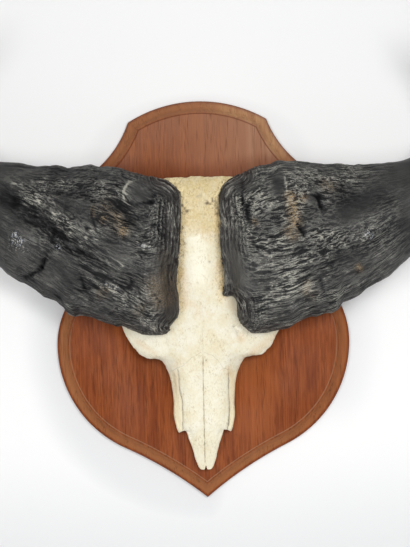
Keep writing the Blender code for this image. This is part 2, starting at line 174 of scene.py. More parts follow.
BONE_RUST_MARKS = (
    (6, 0.55, 60.7, -62, 62, -66), (4, 0.6, 40.7, -112, 40.2, -122), (5, 0.45, -78, -85, -108, -64),
    (7, 0.5, 80, -88, 118, -62), (6, 0.35, -30, 120, -36, 40), (9, 0.5, -30, 42, -29, -4),
    (7, 0.45, 26, 140, 34, 90), (4, 0.3, -46, -120, -51, -205), (4, 0.35, 46, -120, 49, -205),
    (7.5, 0.6, 29, 56, 37, 10), (7, 0.25, 46, -4, 52, -20), (9, 0.2, -14, -8, -6, -22),
    (7, 0.25, -44, -104, -36, -100), (6, 0.3, -25, 147, -19, 120), (9, 0.25, 2, 110, 16, 104),
    (4, 0.2, -24, -252, -10, -274),
)
# Whiter places, by strength: partly paler bone, partly painted light that lifts places the lamps leave
# darker, such as the tilted wings
BONE_WHITE_MARKS = (
    (15, 0.8, -4, 99, -2, 34), (15, 0.3, -18, -140, -16, -215), (15, 0.35, 12, -125, 14, -215),
    (22, 0.6, -100, -60, -78, -74), (20, 0.3, 76, -74, 100, -58), (12, 0.25, -30, -104, -22, -118),
    (6, 0.5, -20, 128, -10, 141),
)

# Horns, from the edge by the midline to the tip. Each station is a chord of the front
# outline: x and z of its upper end, x and z of its lower end, front depth, back depth,
# depth of the upper and the lower edge, and squareness of the section
OUTER_RIGHT = (
    (170, 218, 181, -31, 186, 55, 100, 80, 2.2),
    (205, 215, 221, -15, 178, 46, 98, 86, 2.1),
    (248, 210, 268, 9, 167, 38, 95, 92, 2),
    (290, 210, 315, 42, 158, 37, 97, 95, 2),
    (335, 216, 375, 94, 154, 45, 99, 99, 2),
    (367, 238, 428, 160, 159, 67, 113, 113, 2),
    (383, 268, 456, 243, 174, 98, 136, 136, 2),
    (385, 309, 446, 322, 195, 134, 165, 165, 2),
    (376, 350, 416, 373, 218, 173, 196, 196, 2),
    (359, 386, 380, 404, 240, 214, 227, 227, 2),
    (344, 413, 347, 416, 251, 247, 249, 249, 2),
)
RIGHT_STATIONS = (
    (33, 88, 34, 76, 122, 106, 112, 106, 2.6),
    (33, 105, 38, 55, 129, 101, 112, 104, 2.6),
    (32.2, 125, 39.6, 38, 134, 98, 110, 101, 2.7),
    (29.6, 148, 38, 19, 138, 95, 108, 98, 2.7),
    (31, 168, 33.6, 5, 143, 94, 105, 96, 2.7),
    (37, 181, 41, 2.5, 150, 92, 102, 94, 2.7),
    (46, 188, 49.5, 1.5, 159, 90, 98, 92, 2.6),
    (55, 193, 55.5, -9, 168, 86, 92, 90, 2.5),
    (64, 197, 57, -27, 176, 80, 87, 86, 2.5),
    (74, 202, 63, -39, 184, 74, 88, 82, 2.4),
    (87, 207, 74, -51, 187, 68, 92, 77, 2.4),
    (106, 214, 93, -55, 190, 62, 98, 70, 2.3),
    (135, 217, 122, -50, 192, 62, 104, 72, 2.3),
) + OUTER_RIGHT
OUTER_LEFT = (
    (168, 220, 177, -24, 187, 55, 100, 80, 2.2),
    (202, 221, 215, -13, 180, 46, 98, 86, 2.1),
    (242, 222, 258, 19, 169, 38, 95, 92, 2),
    (284, 225, 303, 50, 160, 37, 97, 95, 2),
    (327, 231, 365, 101, 155, 45, 99, 99, 2),
    (360, 252, 420, 170, 159, 67, 113, 113, 2),
    (378, 286, 453, 258, 174, 98, 136, 136, 2),
    (382, 328, 445, 338, 195, 134, 165, 165, 2),
    (374, 370, 415, 392, 218, 173, 196, 196, 2),
    (358, 406, 380, 423, 241, 215, 228, 228, 2),
    (344, 434, 347, 437, 252, 248, 250, 250, 2),
)
LEFT_STATIONS = (
    (33.6, 90, 34.6, 78, 122, 106, 112, 106, 2.6),
    (31.6, 108, 38.5, 59, 129, 101, 112, 104, 2.6),
    (30.6, 126, 42, 40, 134, 98, 110, 101, 2.7),
    (28.6, 149, 41, 20, 138, 95, 108, 98, 2.7),
    (28.2, 165, 36.8, 3, 143, 93, 105, 96, 2.7),
    (33.2, 177, 37, -14, 149, 91, 101, 92, 2.7),
    (43, 187, 39.5, -27, 157, 88, 97, 88, 2.6),
    (52, 193, 47.5, -35, 165, 85, 91, 84, 2.5),
    (60, 196, 54.5, -40, 173, 80, 88, 81, 2.5),
    (70, 198, 53, -46, 180, 76, 88, 79, 2.5),
    (80, 200, 62, -52, 185, 71, 90, 77, 2.4),
    (92, 203, 77, -55.5, 188, 67, 93, 72, 2.4),
    (110, 209, 98, -49, 190, 62, 98, 68, 2.3),
    (135, 216, 128, -39, 192, 63, 104, 74, 2.3),
) + OUTER_LEFT

# Ridges, furrows, knobs and hollows of the horns, by height
RIGHT_FORMS = (
    (15, 7, 170, 151), (11, -7, 187, 148), (9, -5, 74, 178, 77, 108), (20, 5, 96, 170, 120, 176),
    (24, 5, 100, 70, 150, 100), (18, 6, 112, 10, 150, 22), (13, 6, 190, 95, 300, 135),
    (14, -5, 215, 60, 320, 105), (22, -5, 230, 150, 275, 165), (14, 6, 240, 30, 300, 70),
    (16, 5, 330, 150, 395, 225), (4.5, -4, 157, 113, 160, 97), (3, 2.2, 134, 196, 135, 158),
    (13, -3.5, 122, 181, 121, 166), (9, 3, 143, 150, 150, 128), (7, -2, 64, 104, 66, 60),
    (5, -2.5, 120, 60, 96, 52), (6, 3, 195, 60, 260, 92), (6, -3, 150, 30, 200, 52),
    (6, 3, 180, 10, 240, 40), (10, 2, 84, 20, 70, -10), (7, 2.5, 110, -30, 150, -14),
    (9, 3, 262, 96, 266, 92), (7, 2, 150, 196, 230, 190), (6, -2, 160, 178, 220, 172),
)
LEFT_FORMS = (
    (20, 6, 92, 172), (18, -6, 125, 150, 140, 158), (14, 7, 305, 205, 165, 102),
    (13, -8, 312, 176, 186, 84), (30, 9, 284, 88), (4, -6, 241, 82, 248, 59, 280, 43),
    (8, -5, 218, 102, 109, 30), (22, 5, 120, 70, 160, 25), (20, 6, 215, 45, 240, 40),
    (14, 5, 66, 60, 70, 0), (16, 5, 340, 160, 400, 235), (3, -3, 214, 100, 112, 33),
    (5, 3, 222, 108, 118, 40), (9, -4, 106, 130, 112, 124), (6, 3, 150, 136, 160, 112),
    (6, -3, 193, 62, 186, 28), (8, 3, 180, 186, 240, 190), (6, -3, 175, 172, 230, 174),
    (5, 2.5, 100, 10, 140, 30), (5, -3, 140, 8, 190, 34), (8, 2, 84, 60, 90, 20),
    (7, 2, 60, -20, 90, -36), (6, -2, 205, 20, 215, 44),
)
# Narrow dark clefts and pale lines, by change of tone
RIGHT_TONES = (
    (3, -0.3, 69, 185, 67, 155, 76, 121), (9, -0.16, 114, 184, 126, 175), (1.3, 0.4, 134, 188, 136, 166),
    (3.2, -0.38, 173, 160, 186, 153, 188, 138), (2.2, -0.2, 164, 141, 176, 135),
    (3.6, -0.38, 150, 114, 160, 102), (1.6, -0.2, 88, 83, 106, 71, 127, 82),
    (1.5, -0.15, 83, 75, 106, 61, 135, 75), (15, -0.1, 227, 160, 247, 139), (2, -0.25, 52, 123, 50, 106),
    (2, -0.22, 77, 97, 87, 80), (1.8, -0.2, 58, 88, 60, 76), (3, -0.3, 185, 27, 190, 13),
    (5, -0.14, 76, 0, 86, -4), (4, -0.1, 110, 130, 125, 113), (4, -0.22, 75, 148, 75, 131),
    (3, -0.12, 105, 86, 111, 93, 111, 96), (3, -0.12, 164, -30, 195, -22, 222, -8),
    (3, -0.1, 28, 45, 32, 11), (1.3, -0.18, 45, 165, 43, 122), (1.3, -0.16, 57, 179, 55, 131),
    (1.5, -0.15, 97, 198, 94, 164), (1.5, -0.14, 106, 184, 103, 160), (1.5, -0.15, 132, 143, 131, 119),
    (2, -0.12, 211, 70, 258, 85, 306, 114), (3, -0.14, 203, 30, 244, 38, 291, 64),
    (2.5, -0.14, 222, -1, 256, 11, 287, 29), (7, 0.05, 43, 71, 65, 30), (26, 0.03, 100, -12, 190, -8),
    (22, 0.12, 60, 145, 62, 25), (34, -0.055, 120, 120, 170, 90),
)
LEFT_TONES = (
    (1.5, 0.34, 108, 192, 116, 175, 106, 157), (1.2, 0.14, 103, 195, 85, 197, 72, 189),
    (3, -0.26, 67, 169, 73, 154, 93, 152), (7, -0.22, 130, 157, 110, 136, 107, 126),
    (8, -0.14, 193, 172, 166, 188), (9, -0.16, 304, 170, 288, 162, 258, 144, 225, 116),
    (5, -0.16, 225, 116, 196, 88), (1.6, -0.2, 160, 161, 166, 138, 158, 114),
    (2.6, -0.32, 240, 79, 247, 59, 278, 43), (2.4, -0.3, 187, 41, 182, 24, 171, 7),
    (2.4, -0.28, 150, 36, 148, 19), (1.6, -0.22, 97, 21, 92, -6, 78, -26),
    (1.6, -0.2, 77, 17, 65, 0, 71, -20), (1.5, -0.25, 192, 86, 159, 70, 130, 49),
    (4, -0.2, 231, 108, 222, 92), (5, 0.1, 98, -32, 78, -43, 65, -50),
    (1.8, -0.16, 306, 223, 222, 215, 159, 208), (2, 0.05, 118, 204, 78, 186, 42, 178),
    (1.2, -0.14, 59, 158, 62, 108), (1.2, -0.14, 51, 161, 54, 94), (1.2, 0.08, 42, 158, 46, 84),
    (1.5, -0.16, 91, 92, 90, 68), (3, -0.1, 217, 52, 201, 31), (4, -0.08, 303, 108, 290, 81),
    (4, -0.14, 268, 40, 225, 12, 199, -9), (1.6, -0.14, 168, 104, 142, 97, 104, 102),
    (26, 0.04, 90, -8, 165, 4), (20, 0.03, 66, 140, 64, 20), (30, 0.05, 165, 120, 165, 80),
    (13, -0.07, 48, 44, 47, -16),
)
# What the outline stands above the stations' curve: x, and how much
RIGHT_UPPER_TRIM = (
    (37, -1), (47, 1), (57, 4), (67, 2), (86, 2), (96, 1.5), (105, -1), (115, -1), (125, 2.5), (134, 1.5),
    (144, -1), (173, -1.5), (182, -2.5), (201, -3), (211, -1.5), (230, 0), (249, -1.5), (259, 1), (336, 1),
)
RIGHT_LOWER_TRIM = (
    (51, 2), (60, -3), (69, -0.5), (79, -2), (98, -0.5), (117, -0.5), (127, -2), (137, -3.5), (146, -2),
    (156, 1), (176, 1), (185, -2), (195, -2), (205, -5), (215, -5.5), (221, -3), (226, 2), (234, 1),
    (254, 1), (264, 3.5), (274, 3.5), (283, 2), (293, 0.5), (303, -0.5), (333, 1.5),
)
LEFT_UPPER_TRIM = (
    (36, 1), (65, 1), (74, 2.5), (84, 1), (103, 0), (122, 1.5), (141, 0), (160, -1.5), (170, 1), (189, -1.5),
    (198, -2), (208, -3), (218, 0), (227, 1), (246, 0), (256, -1.5), (265, 0), (275, 1.5), (285, 3), (313, 3),
    (345, 1),
)
LEFT_LOWER_TRIM = (
    (43, -0.5), (62, -2), (72, -0.5), (82, -2), (101, -3.5), (120, -2), (130, 1), (139, -3.5), (149, -2),
    (158, -2), (168, -0.5), (177, 1), (196, -0.5), (206, -5), (216, -3.5), (222, 3), (234, 5), (244, 1),
    (253, -3.5), (263, -2), (272, -0.5), (282, -0.5), (291, -3.5), (310, -3.5), (320, -2), (345, 0),
)
# Where fibres run aslant, by strength
LEFT_SLANTED = ((24, 1.2, 300, 196, 170, 104), (30, 1.2, 250, 120, 110, 30), (30, 0.8, 250, 60, 140, 0))
# Round knobs with a groove about them: x, z, radius, height, strength of the painted highlight on the outer
# rim
RIGHT_KNOBS = ((171.5, 152, 10, 3.0, 0.1),)
LEFT_KNOBS = ((93.5, 169, 23.0, 4.0, 0.42),)
# Hollows of the edge beside the bone: z, half-height, depth
RIGHT_HOLLOWS = ((36, 19, 3.7), (121, 8, 2.6))
LEFT_HOLLOWS = ((33, 21, 4.8), (-32, 10, 2.0))
# Smooth, pale, tan and wet places, by strength. The wet places are glossy and also carry painted highlights
RIGHT_SMOOTH = (
    (11, 1, 122, 186, 121, 168), (9, 0.8, 171, 152, 172, 153), (24, 1, 228, 128, 262, 150),
    (16, 0.5, 62, 44, 84, 18), (17, 0.75, 46, 78, 58, 24), (16, 0.6, 225, 60, 262, 52),
    (30, 0.6, 300, 190, 330, 190), (12, 0.6, 200, 22, 250, 36),
)
LEFT_SMOOTH = (
    (17, 1, 94, 176, 90, 168), (30, 0.9, 284, 84, 280, 94), (24, 0.8, 216, 64, 205, 44),
    (18, 0.6, 178, 152, 206, 158), (13, 0.5, 128, 144, 140, 152), (12, 0.7, 48, 20, 50, -18),
    (20, 0.65, 64, 66, 62, 0), (20, 0.5, 150, 62, 120, 84), (10, 0.6, 250, 66, 240, 50),
    (12, 0.5, 120, 198, 330, 216),
)
RIGHT_PALE = (
    (14, 0.9, 44, 178, 40, 120), (20, 0.8, 90, 186, 104, 150), (20, 0.6, 140, 186, 180, 184),
    (9, 0.8, 138, 158, 146, 118), (9, 1, 268, 188, 282, 184), (8, 0.8, 232, 178, 250, 176),
    (20, 0.4, 100, 74, 120, 74), (24, 0.7, 120, 10, 150, 30), (14, 0.2, 170, 40, 190, 60),
    (14, 0.2, 196, 132, 210, 116), (14, 0.2, 50, 70, 70, 30), (10, 0.5, 90, -30, 140, -22),
    (8, 0.2, 185, 84, 250, 106), (20, 0.3, 300, 130, 330, 150),
)
LEFT_PALE = (
    (12, 0.9, 296, 196, 230, 150), (13, 0.9, 222, 148, 168, 106), (9, 0.6, 168, 106, 120, 62),
    (8, 0.5, 270, 206, 300, 204), (12, 0.35, 160, 176, 190, 168), (9, 0.5, 146, 172, 152, 158),
    (10, 0.35, 46, 150, 44, 90), (8, 0.3, 72, 190, 60, 160), (8, 0.9, 76, -28, 100, -38),
    (8, 0.35, 112, 36, 150, 64), (2.5, 1.2, 116, 168, 112, 186),
)
RIGHT_TAN = (
    (8, 1.3, 141, 158, 147, 116), (6, 0.7, 160, 152, 162, 156), (9, 0.7, 136, 104, 142, 98),
    (5, 1, 245, 46, 247, 42), (6, 0.4, 165, 23, 160, 12), (4, 0.7, 84, 122, 86, 118),
    (9, 0.4, 205, 172, 196, 176), (8, 0.25, 166, 8, 172, 2),
)
LEFT_TAN = (
    (6, 1.3, 116, 112, 118, 110), (5, 1, 148, 131, 149, 129), (4, 0.6, 163, 148, 164, 138),
    (15, 0.35, 140, 150, 122, 122), (14, 0.45, 74, 28, 66, 0), (14, 0.15, 56, 70, 52, 10),
    (8, 0.35, 148, 22, 156, 16), (5, 0.4, 126, 136, 122, 128), (9, 0.3, 96, -10, 100, -16),
    (10, 0.35, 52, 40, 48, 0),
)
RIGHT_WET = ((7, 1, 262, 97, 264, 93), (12, 0.3, 235, 100, 290, 110), (4, 0.6, 140, -8, 144, -12))
LEFT_WET = (
    (8, 1, 286, 110, 284, 104), (14, 0.5, 292, 96, 270, 92), (6, 0.8, 223, 92, 219, 88),
    (4, 1, 147, 30, 130, 23), (4, 0.5, 90, 88, 72, 84), (8, 0.3, 215, 100, 180, 88),
    (3, 0.5, 86, 44, 84, 8),
)


def ramp(value: Array | float, start: float, end: float) -> Array:
    """Smooth rise of a value from 0 at start to 1 at end, by t squared times (3 - 2t)."""
    t = np.clip((value - start) / (end - start), 0, 1)
    return t * t * (3 - 2 * t)


def place(x: Array, z: Array, depth: Array) -> Array:
    """Turn x, z and depth in millimetres into rows of points in metres."""
    x, z, depth = np.broadcast_arrays(x, z, depth)
    return np.stack([x, -depth, z], axis=-1).reshape(-1, 3) * MM


def lattice_noise(points: Array, seed: int) -> Array:
    """Value noise: one random number for each corner of unit cells, eased between by a quintic.

    Args:
        points: Places as (..., 3), in cells.
        seed: Which noise.

    Returns:
        Values from -1 to 1.
    """
    cell = np.floor(points).astype(np.int64)
    part = points - cell
    ease = part**3 * (part * (part * 6 - 15) + 10)
    total = np.zeros(points.shape[:-1])
    for corner in product((0, 1), repeat=3):
        weight = np.prod(np.where(corner, ease, 1 - ease), axis=-1)
        mixed = (cell + corner) @ np.array([73856093, 19349663, 83492791]) + seed * 961748927
        mixed = (mixed ^ (mixed >> 15)) * 2246822519
        mixed = (mixed ^ (mixed >> 13)) * 3266489917
        total += weight * (((mixed ^ (mixed >> 16)) & 0xFFFFF) / 0x7FFFF - 1)
    return total


def fractal(points: Array, seed: int, octaves: int = 3) -> Array:
    """Value noise under finer copies of itself, each half as wide and half as high as the last."""
    total = sum(lattice_noise(points * 2**k, seed + k) / 2**k for k in range(octaves))
    return total / (2 - 2 ** (1 - octaves))


def hermite(table: Array, along: Array, wanted: Array) -> Array:
    """Cubic Hermite curve through every column of a table, with slopes taken between neighbours.

    Args:
        table: One row for each station.
        along: Where the stations are.
        wanted: Where to read the curve.

    Returns:
        One row for each wanted place.
    """
    slope = np.gradient(table, along, axis=0)
    left = np.clip(np.searchsorted(along, wanted, side="right") - 1, 0, len(table) - 2)
    span = (along[left + 1] - along[left])[:, None]
    t = (wanted - along[left])[:, None] / span
    return ((2 * t**3 - 3 * t**2 + 1) * table[left] + (t**3 - 2 * t**2 + t) * span * slope[left]
            + (3 * t**2 - 2 * t**3) * table[left + 1] + (t**3 - t**2) * span * slope[left + 1])


def near_line(x: Array, z: Array, start: Array, end: Array) -> tuple[Array, Array]:
    """Offset from the nearest point of a line between two points.

    Args:
        x: Sideways.
        z: Up the wall.
        start: The line's first point.
        end: The line's last point.

    Returns:
        The offset's x and z.
    """
    run_x, run_z = end[0] - start[0], end[1] - start[1]
    share = ((x - start[0]) * run_x + (z - start[1]) * run_z) / max(run_x**2 + run_z**2, 1e-6)
    share = np.clip(share, 0, 1)
    return x - start[0] - share * run_x, z - start[1] - share * run_z


def soft_spots(x: Array, z: Array, rows: tuple[Row, ...]) -> Array:
    """Sum of bell curves of the distance to short lines: strength x exp(-(distance / half-width)^2).

    Args:
        x: Sideways.
        z: Up the wall.
        rows: Half-width, strength, then x and z of one point, or of each point along a path.

    Returns:
        The sum at each place.
    """
    total = np.zeros(np.broadcast(x, z).shape)
    for half_width, strength, *path in rows:
        points = list(zip(path[::2], path[1::2]))
        for start, end in zip(points, points[1:] or points):
            off_x, off_z = near_line(x, z, start, end)
            total += strength * np.exp(-(off_x**2 + off_z**2) / half_width**2)
    return total


def signed_distance(x: Array, z: Array, path: tuple[tuple[float, float], ...]) -> Array:
    """Distance to a path, positive on its left, so that it crosses zero evenly on the path.

    Args:
        x: Sideways.
        z: Up the wall.
        path: The path's points.

    Returns:
        The distance at each place.
    """
    best = np.full(np.broadcast(x, z).shape, 1e6)
    for start, end in zip(path[:-1], path[1:]):
        off_x, off_z = near_line(x, z, start, end)
        side = np.where((end[0] - start[0]) * off_z - (end[1] - start[1]) * off_x >= 0, 1.0, -1.0)
        distance = np.hypot(off_x, off_z)
        best = np.where(distance < np.abs(best), side * distance, best)
    return best


def grid_quads(rows: int, columns: int, wrap: bool = False) -> Array:
    """Faces between neighbouring rows and columns of a grid of points.

    Args:
        rows: Number of rows.
        columns: Number of columns.
        wrap: Whether the last column joins the first.

    Returns:
        Four corner numbers for each face.
    """
    index = np.arange(rows * columns).reshape(rows, columns)
    if wrap:
        index = np.concatenate([index, index[:, :1]], axis=1)
    corners = (index[:-1, :-1], index[:-1, 1:], index[1:, 1:], index[1:, :-1])
    return np.stack(corners, axis=-1).reshape(-1, 4)


def surface(name: str, points: Array, quads: Array, caps: tuple[Array, ...] = (),
            sharp_angle: float = 50.0) -> bpy.types.Object:
    """Link one closed mesh whose faces point outward, smooth but for its sharp edges.

    The faces are turned round when the volume that they enclose comes out negative.

    Args:
        name: The piece's name.
        points: Vertices in metres.
        quads: Four corners for each face.
        caps: Faces with many corners.
        sharp_angle: Edges that turn by more than this, in degrees, stay sharp.

    Returns:
        The linked object.
    """
    a, b, c, d = (points[quads[:, k]] for k in range(4))
    volume = np.sum(a * (np.cross(b, c) + np.cross(c, d)))
    step = 1 if volume > 0 else -1
    faces = [quads[:, ::step].ravel(), *[np.asarray(cap)[::step] for cap in caps]]
    sizes = np.concatenate([np.full(len(quads), 4), [len(cap) for cap in caps]]).astype(np.int32)
    corners = np.concatenate(faces).astype(np.int32)
    mesh = bpy.data.meshes.new(name)
    mesh.vertices.add(len(points))
    mesh.vertices.foreach_set("co", points.astype(np.float32).ravel())
    mesh.loops.add(len(corners))
    mesh.loops.foreach_set("vertex_index", corners)
    mesh.polygons.add(len(sizes))
    mesh.polygons.foreach_set("loop_start", np.concatenate([[0], np.cumsum(sizes)[:-1]]).astype(np.int32))
    mesh.update(calc_edges=True)
    mesh.shade_smooth()
    mesh.set_sharp_from_angle(angle=math.radians(sharp_angle))
    made = bpy.data.objects.new(name, mesh)
    bpy.context.scene.collection.objects.link(made)
    return made


def tube(name: str, points: Array, rings: int, sharp_angle: float = 50.0) -> bpy.types.Object:
    """A closed tube of rings of points, with a flat cap at each end.

    Args:
        name: The piece's name.
        points: Vertices in metres, ring by ring.
        rings: How many rings.
        sharp_angle: Edges that turn by more than this, in degrees, stay sharp.

    Returns:
        The linked object.
    """
    count = len(points) // rings
    caps = (np.arange(count)[::-1], np.arange(len(points) - count, len(points)))
    return surface(name, points, grid_quads(rings, count, wrap=True), caps, sharp_angle)


def paint(piece: bpy.types.Object, **values: Array) -> None:
    """Store one number, or one vector, at each vertex under a name that the finish reads.

    Args:
        piece: The piece to mark.
        values: Attribute names with their values.
    """
    for name, value in values.items():
        vector = value.size == 3 * len(piece.data.vertices)
        layer = piece.data.attributes.new(name, "FLOAT_VECTOR" if vector else "FLOAT", "POINT")
        layer.data.foreach_set("vector" if vector else "value", value.astype(np.float32).ravel())


def cut_away(piece: bpy.types.Object, cutters: list[bpy.types.Object]) -> None:
    """Take cutters out of a piece with exact booleans, and remove them.

    Args:
        piece: The piece to cut.
        cutters: Closed solids.
    """
    for cutter in cutters:
        modifier = piece.modifiers.new(cutter.name, "BOOLEAN")
        modifier.operation = "DIFFERENCE"
        modifier.solver = "EXACT"
        modifier.object = cutter
    graph = bpy.context.evaluated_depsgraph_get()
    cut = bpy.data.meshes.new_from_object(piece.evaluated_get(graph))
    piece.modifiers.clear()
    piece.data = cut
    for cutter in cutters:
        bpy.data.objects.remove(cutter, do_unlink=True)


def prism(name: str, loop: Array, start: float, end: float) -> bpy.types.Object:
    """A flat loop of x and z carried straight forward from one depth to another."""
    points = [place(loop[:, 0], loop[:, 1], depth) for depth in (start, end)]
    return tube(name, np.concatenate(points), 2)


def lathe(name: str, x: float, z: float, profile: tuple[Row, ...], sides: int = 24) -> bpy.types.Object:
    """A profile of radius and depth turned about an axis that runs forward from the wall.

    Args:
        name: The piece's name.
        x: The axis's place sideways.
        z: The axis's place up the wall.
        profile: Radius and depth of each ring.
        sides: Points in a ring.

    Returns:
        The linked object.
    """
    turn = np.linspace(0, 2 * math.pi, sides, endpoint=False)
    rings = [place(x + r * np.cos(turn), z + r * np.sin(turn), depth) for r, depth in profile]
    return tube(name, np.concatenate(rings), len(profile))


def screw_hole(name: str, x: float, z: float, size: Row) -> bpy.types.Object:
    """The clearance of a countersunk screw driven forward from the back.

    Args:
        name: The cutter's name.
        x: The screw's place sideways.
        z: The screw's place up the wall.
        size: Head radius, shank radius and length.

    Returns:
        The cutter.
    """
    head, shank, length = size
    profile = (
        (head + GAP, -3 * GAP), (head + GAP, 0.4), (shank + GAP, 0.4 + head - shank),
        (shank + GAP, length - 2 * shank), (0.3 * shank + GAP, length + GAP),
    )
    return lathe(name, x, z, profile)


def rounded_loop(width: float, height: float, z: float, steps: int = 16) -> Array:
    """An upright loop with half-round ends, centred on x = 0.

    Args:
        width: Across.
        height: From end to end.
        z: Its middle.
        steps: Points in each end.

    Returns:
        x and z of its points.
    """
    turn = np.linspace(0, math.pi, steps)
    radius = width / 2
    reach = height / 2 - radius
    top = np.stack([radius * np.cos(turn), z + reach + radius * np.sin(turn)], axis=1)
    bottom = np.stack([-radius * np.cos(turn), z - reach - radius * np.sin(turn)], axis=1)
    return np.concatenate([top, bottom])


def linear(red: int, green: int, blue: int) -> tuple[float, float, float, float]:
    """Linear colour of a display colour given from 0 to 255.

    Args:
        red: Display red.
        green: Display green.
        blue: Display blue.

    Returns:
        Linear red, green, blue and an alpha of 1.
    """
    share = np.array([red, green, blue]) / 255
    value = np.where(share <= 0.04045, share / 12.92, ((share + 0.055) / 1.055) ** 2.4)
    return (*(float(v) for v in value), 1.0)


class Graph:
    """Adds nodes to a material's or a group's tree, and wires them."""

    def __init__(self, tree: bpy.types.NodeTree) -> None:
        """Keep the tree that nodes are added to."""
        self.tree = tree

    def node(self, kind: str, inputs: dict[str | int, object] | None = None,
             **settings: object) -> bpy.types.Node:
        """Add one node.

        Args:
            kind: The node's type after ShaderNode.
            inputs: What some of its inputs take, by name or by number.
            settings: Properties to set on it.

        Returns:
            The node.
        """
        made = self.tree.nodes.new(f"ShaderNode{kind}")
        for name, value in settings.items():
            setattr(made, name, value)
        for key, value in (inputs or {}).items():
            self.feed(made.inputs[key], value)
        return made

    def feed(self, socket: Socket, value: object) -> None:
        """Link a socket to another, or set its constant.

        Args:
            socket: The input to feed.
            value: An output socket, a constant, or None to leave the input as it is.
        """
        if isinstance(value, bpy.types.NodeSocket):
            self.tree.links.new(value, socket)
        elif value is not None:
            socket.default_value = value

    def math(self, operation: str, first: object, second: object = None, clamp: bool = False) -> Socket:
        """One step of arithmetic, named as in Blender, and held between 0 and 1 if clamp is set."""
        values = {0: first, 1: second}
        return self.node("Math", values, operation=operation, use_clamp=clamp).outputs[0]

    def times(self, *factors: object, clamp: bool = False) -> Socket:
        """Multiply values in turn, and hold the last product between 0 and 1 if clamp is set."""
        return self.chain("MULTIPLY", factors, clamp)

    def plus(self, *terms: object) -> Socket:
        """Add values in turn."""
        return self.chain("ADD", terms)

    def less(self, first: object, second: object, clamp: bool = False) -> Socket:
        """Take the second value from the first."""
        return self.math("SUBTRACT", first, second, clamp)

    def highest(self, *values: object) -> Socket:
        """The highest of some values."""
        return self.chain("MAXIMUM", values)

    def chain(self, operation: str, values: tuple[object, ...], clamp: bool = False) -> Socket:
        """Combine values in turn by one operation.

        Args:
            operation: Blender's name for it.
            values: Two values or more.
            clamp: Whether the last result is held between 0 and 1.

        Returns:
            The last result.
        """
        total = values[0]
        for value in values[1:]:
            total = self.math(operation, total, value, clamp and value is values[-1])
        return total

    def band(self, value: object, rise: tuple[float, float], fall: tuple[float, float]) -> Socket:
        """A mask that rises from 0 to 1 over one range of a value and falls back over another."""
        return self.times(self.span(value, *rise), self.span(value, *fall, 1.0, 0.0))

    def axes(self, vector: Socket) -> tuple[Socket, Socket, Socket]:
        """The x, y and z of a vector."""
        return tuple(self.node("SeparateXYZ", {0: vector}).outputs)

    def mix(self, share: object, first: object, second: object) -> Socket:
        """Mix two colours, where the share is how much of the second."""
        return self.node("Mix", {0: share, 6: first, 7: second}, data_type="RGBA").outputs[2]

    def blend(self, share: object, first: object, second: object) -> Socket:
        """Mix two numbers, where the share is how much of the second."""
        return self.node("Mix", {0: share, 2: first, 3: second}, data_type="FLOAT").outputs[0]

    def gradient(self, value: object, stops: tuple[tuple[float, Row], ...]) -> Socket:
        """Colour by value.

        Args:
            value: What to read.
            stops: Positions with their colours.

        Returns:
            The colour.
        """
        made = self.node("ValToRGB", {0: value})
        for position, _ in stops[1:-1]:
            made.color_ramp.elements.new(position)
        for element, (position, colour) in zip(made.color_ramp.elements, stops):
            element.position = position
            element.color = colour
        return made.outputs[0]

    def span(self, value: object, low: float, high: float, to_low: float = 0.0,
             to_high: float = 1.0) -> Socket:
        """Carry the range from low to high smoothly onto another range, and hold it at its ends."""
        numbers = dict(enumerate((value, low, high, to_low, to_high)))
        return self.node("MapRange", numbers, interpolation_type="SMOOTHSTEP").outputs[0]

    def noise(self, vector: Socket, scale: float, detail: float = 4.0, roughness: float = 0.55,
              distortion: float = 0.0) -> Socket:
        """Fractal noise.

        Args:
            vector: Coordinates.
            scale: Cells in a unit.
            detail: Octaves.
            roughness: How strong the finer ones are.
            distortion: How far it is bent by itself.

        Returns:
            Its value, about 0.5.
        """
        values = {"Vector": vector, "Scale": scale, "Detail": detail, "Roughness": roughness,
                  "Distortion": distortion}
        return self.node("TexNoise", values).outputs[0]

    def cells(self, vector: Socket, scale: float, feature: str = "F1") -> Socket:
        """Distance in a field of cells, scale of them in a unit. The feature says which distance."""
        values = {"Vector": vector, "Scale": scale}
        return self.node("TexVoronoi", values, feature=feature).outputs["Distance"]

    def stretched(self, vector: Socket, scale: Triple, rotation: Triple = (0, 0, 0)) -> Socket:
        """Coordinates scaled on each axis, and turned about each by some radians."""
        values = {"Vector": vector, "Scale": scale, "Rotation": rotation}
        return self.node("Mapping", values).outputs[0]

    def marked(self, name: str, vector: bool = False) -> Socket:
        """Read one of the piece's own attributes, as a number or as a vector."""
        made = self.node("Attribute", attribute_name=name)
        return made.outputs["Vector" if vector else "Fac"]

    def group(self, tree: bpy.types.NodeTree, **values: object) -> bpy.types.Node:
        """Place a node group with its own values, given by the names of its inputs."""
        return self.node("Group", values, node_tree=tree)

    def bump(self, height: Socket, distance: float, strength: float) -> Socket:
        """Turn a height into a normal, where a height of 1 is so many metres at a strength of 1."""
        values = {"Height": height, "Distance": distance, "Strength": strength}
        return self.node("Bump", values).outputs[0]


def new_group(name: str, numbers: tuple[str, ...], outputs: tuple[str, ...]) -> GroupParts:
    """Start a shader node group that takes coordinates and some numbers, and gives numbers.

    Args:
        name: Its name.
        numbers: Names of its inputs after the vector.
        outputs: Names of its outputs.

    Returns:
        A graph on the group, its input sockets in order, and the node that takes its results.
    """
    tree = bpy.data.node_groups.new(name, "ShaderNodeTree")
    tree.interface.new_socket(name="Vector", in_out="INPUT", socket_type="NodeSocketVector")
    for way, labels in (("INPUT", numbers), ("OUTPUT", outputs)):
        for label in labels:
            tree.interface.new_socket(name=label, in_out=way, socket_type="NodeSocketFloat")
    graph = Graph(tree)
    start, end = graph.tree.nodes.new("NodeGroupInput"), graph.tree.nodes.new("NodeGroupOutput")
    return graph, [start.outputs[label] for label in ("Vector", *numbers)], end


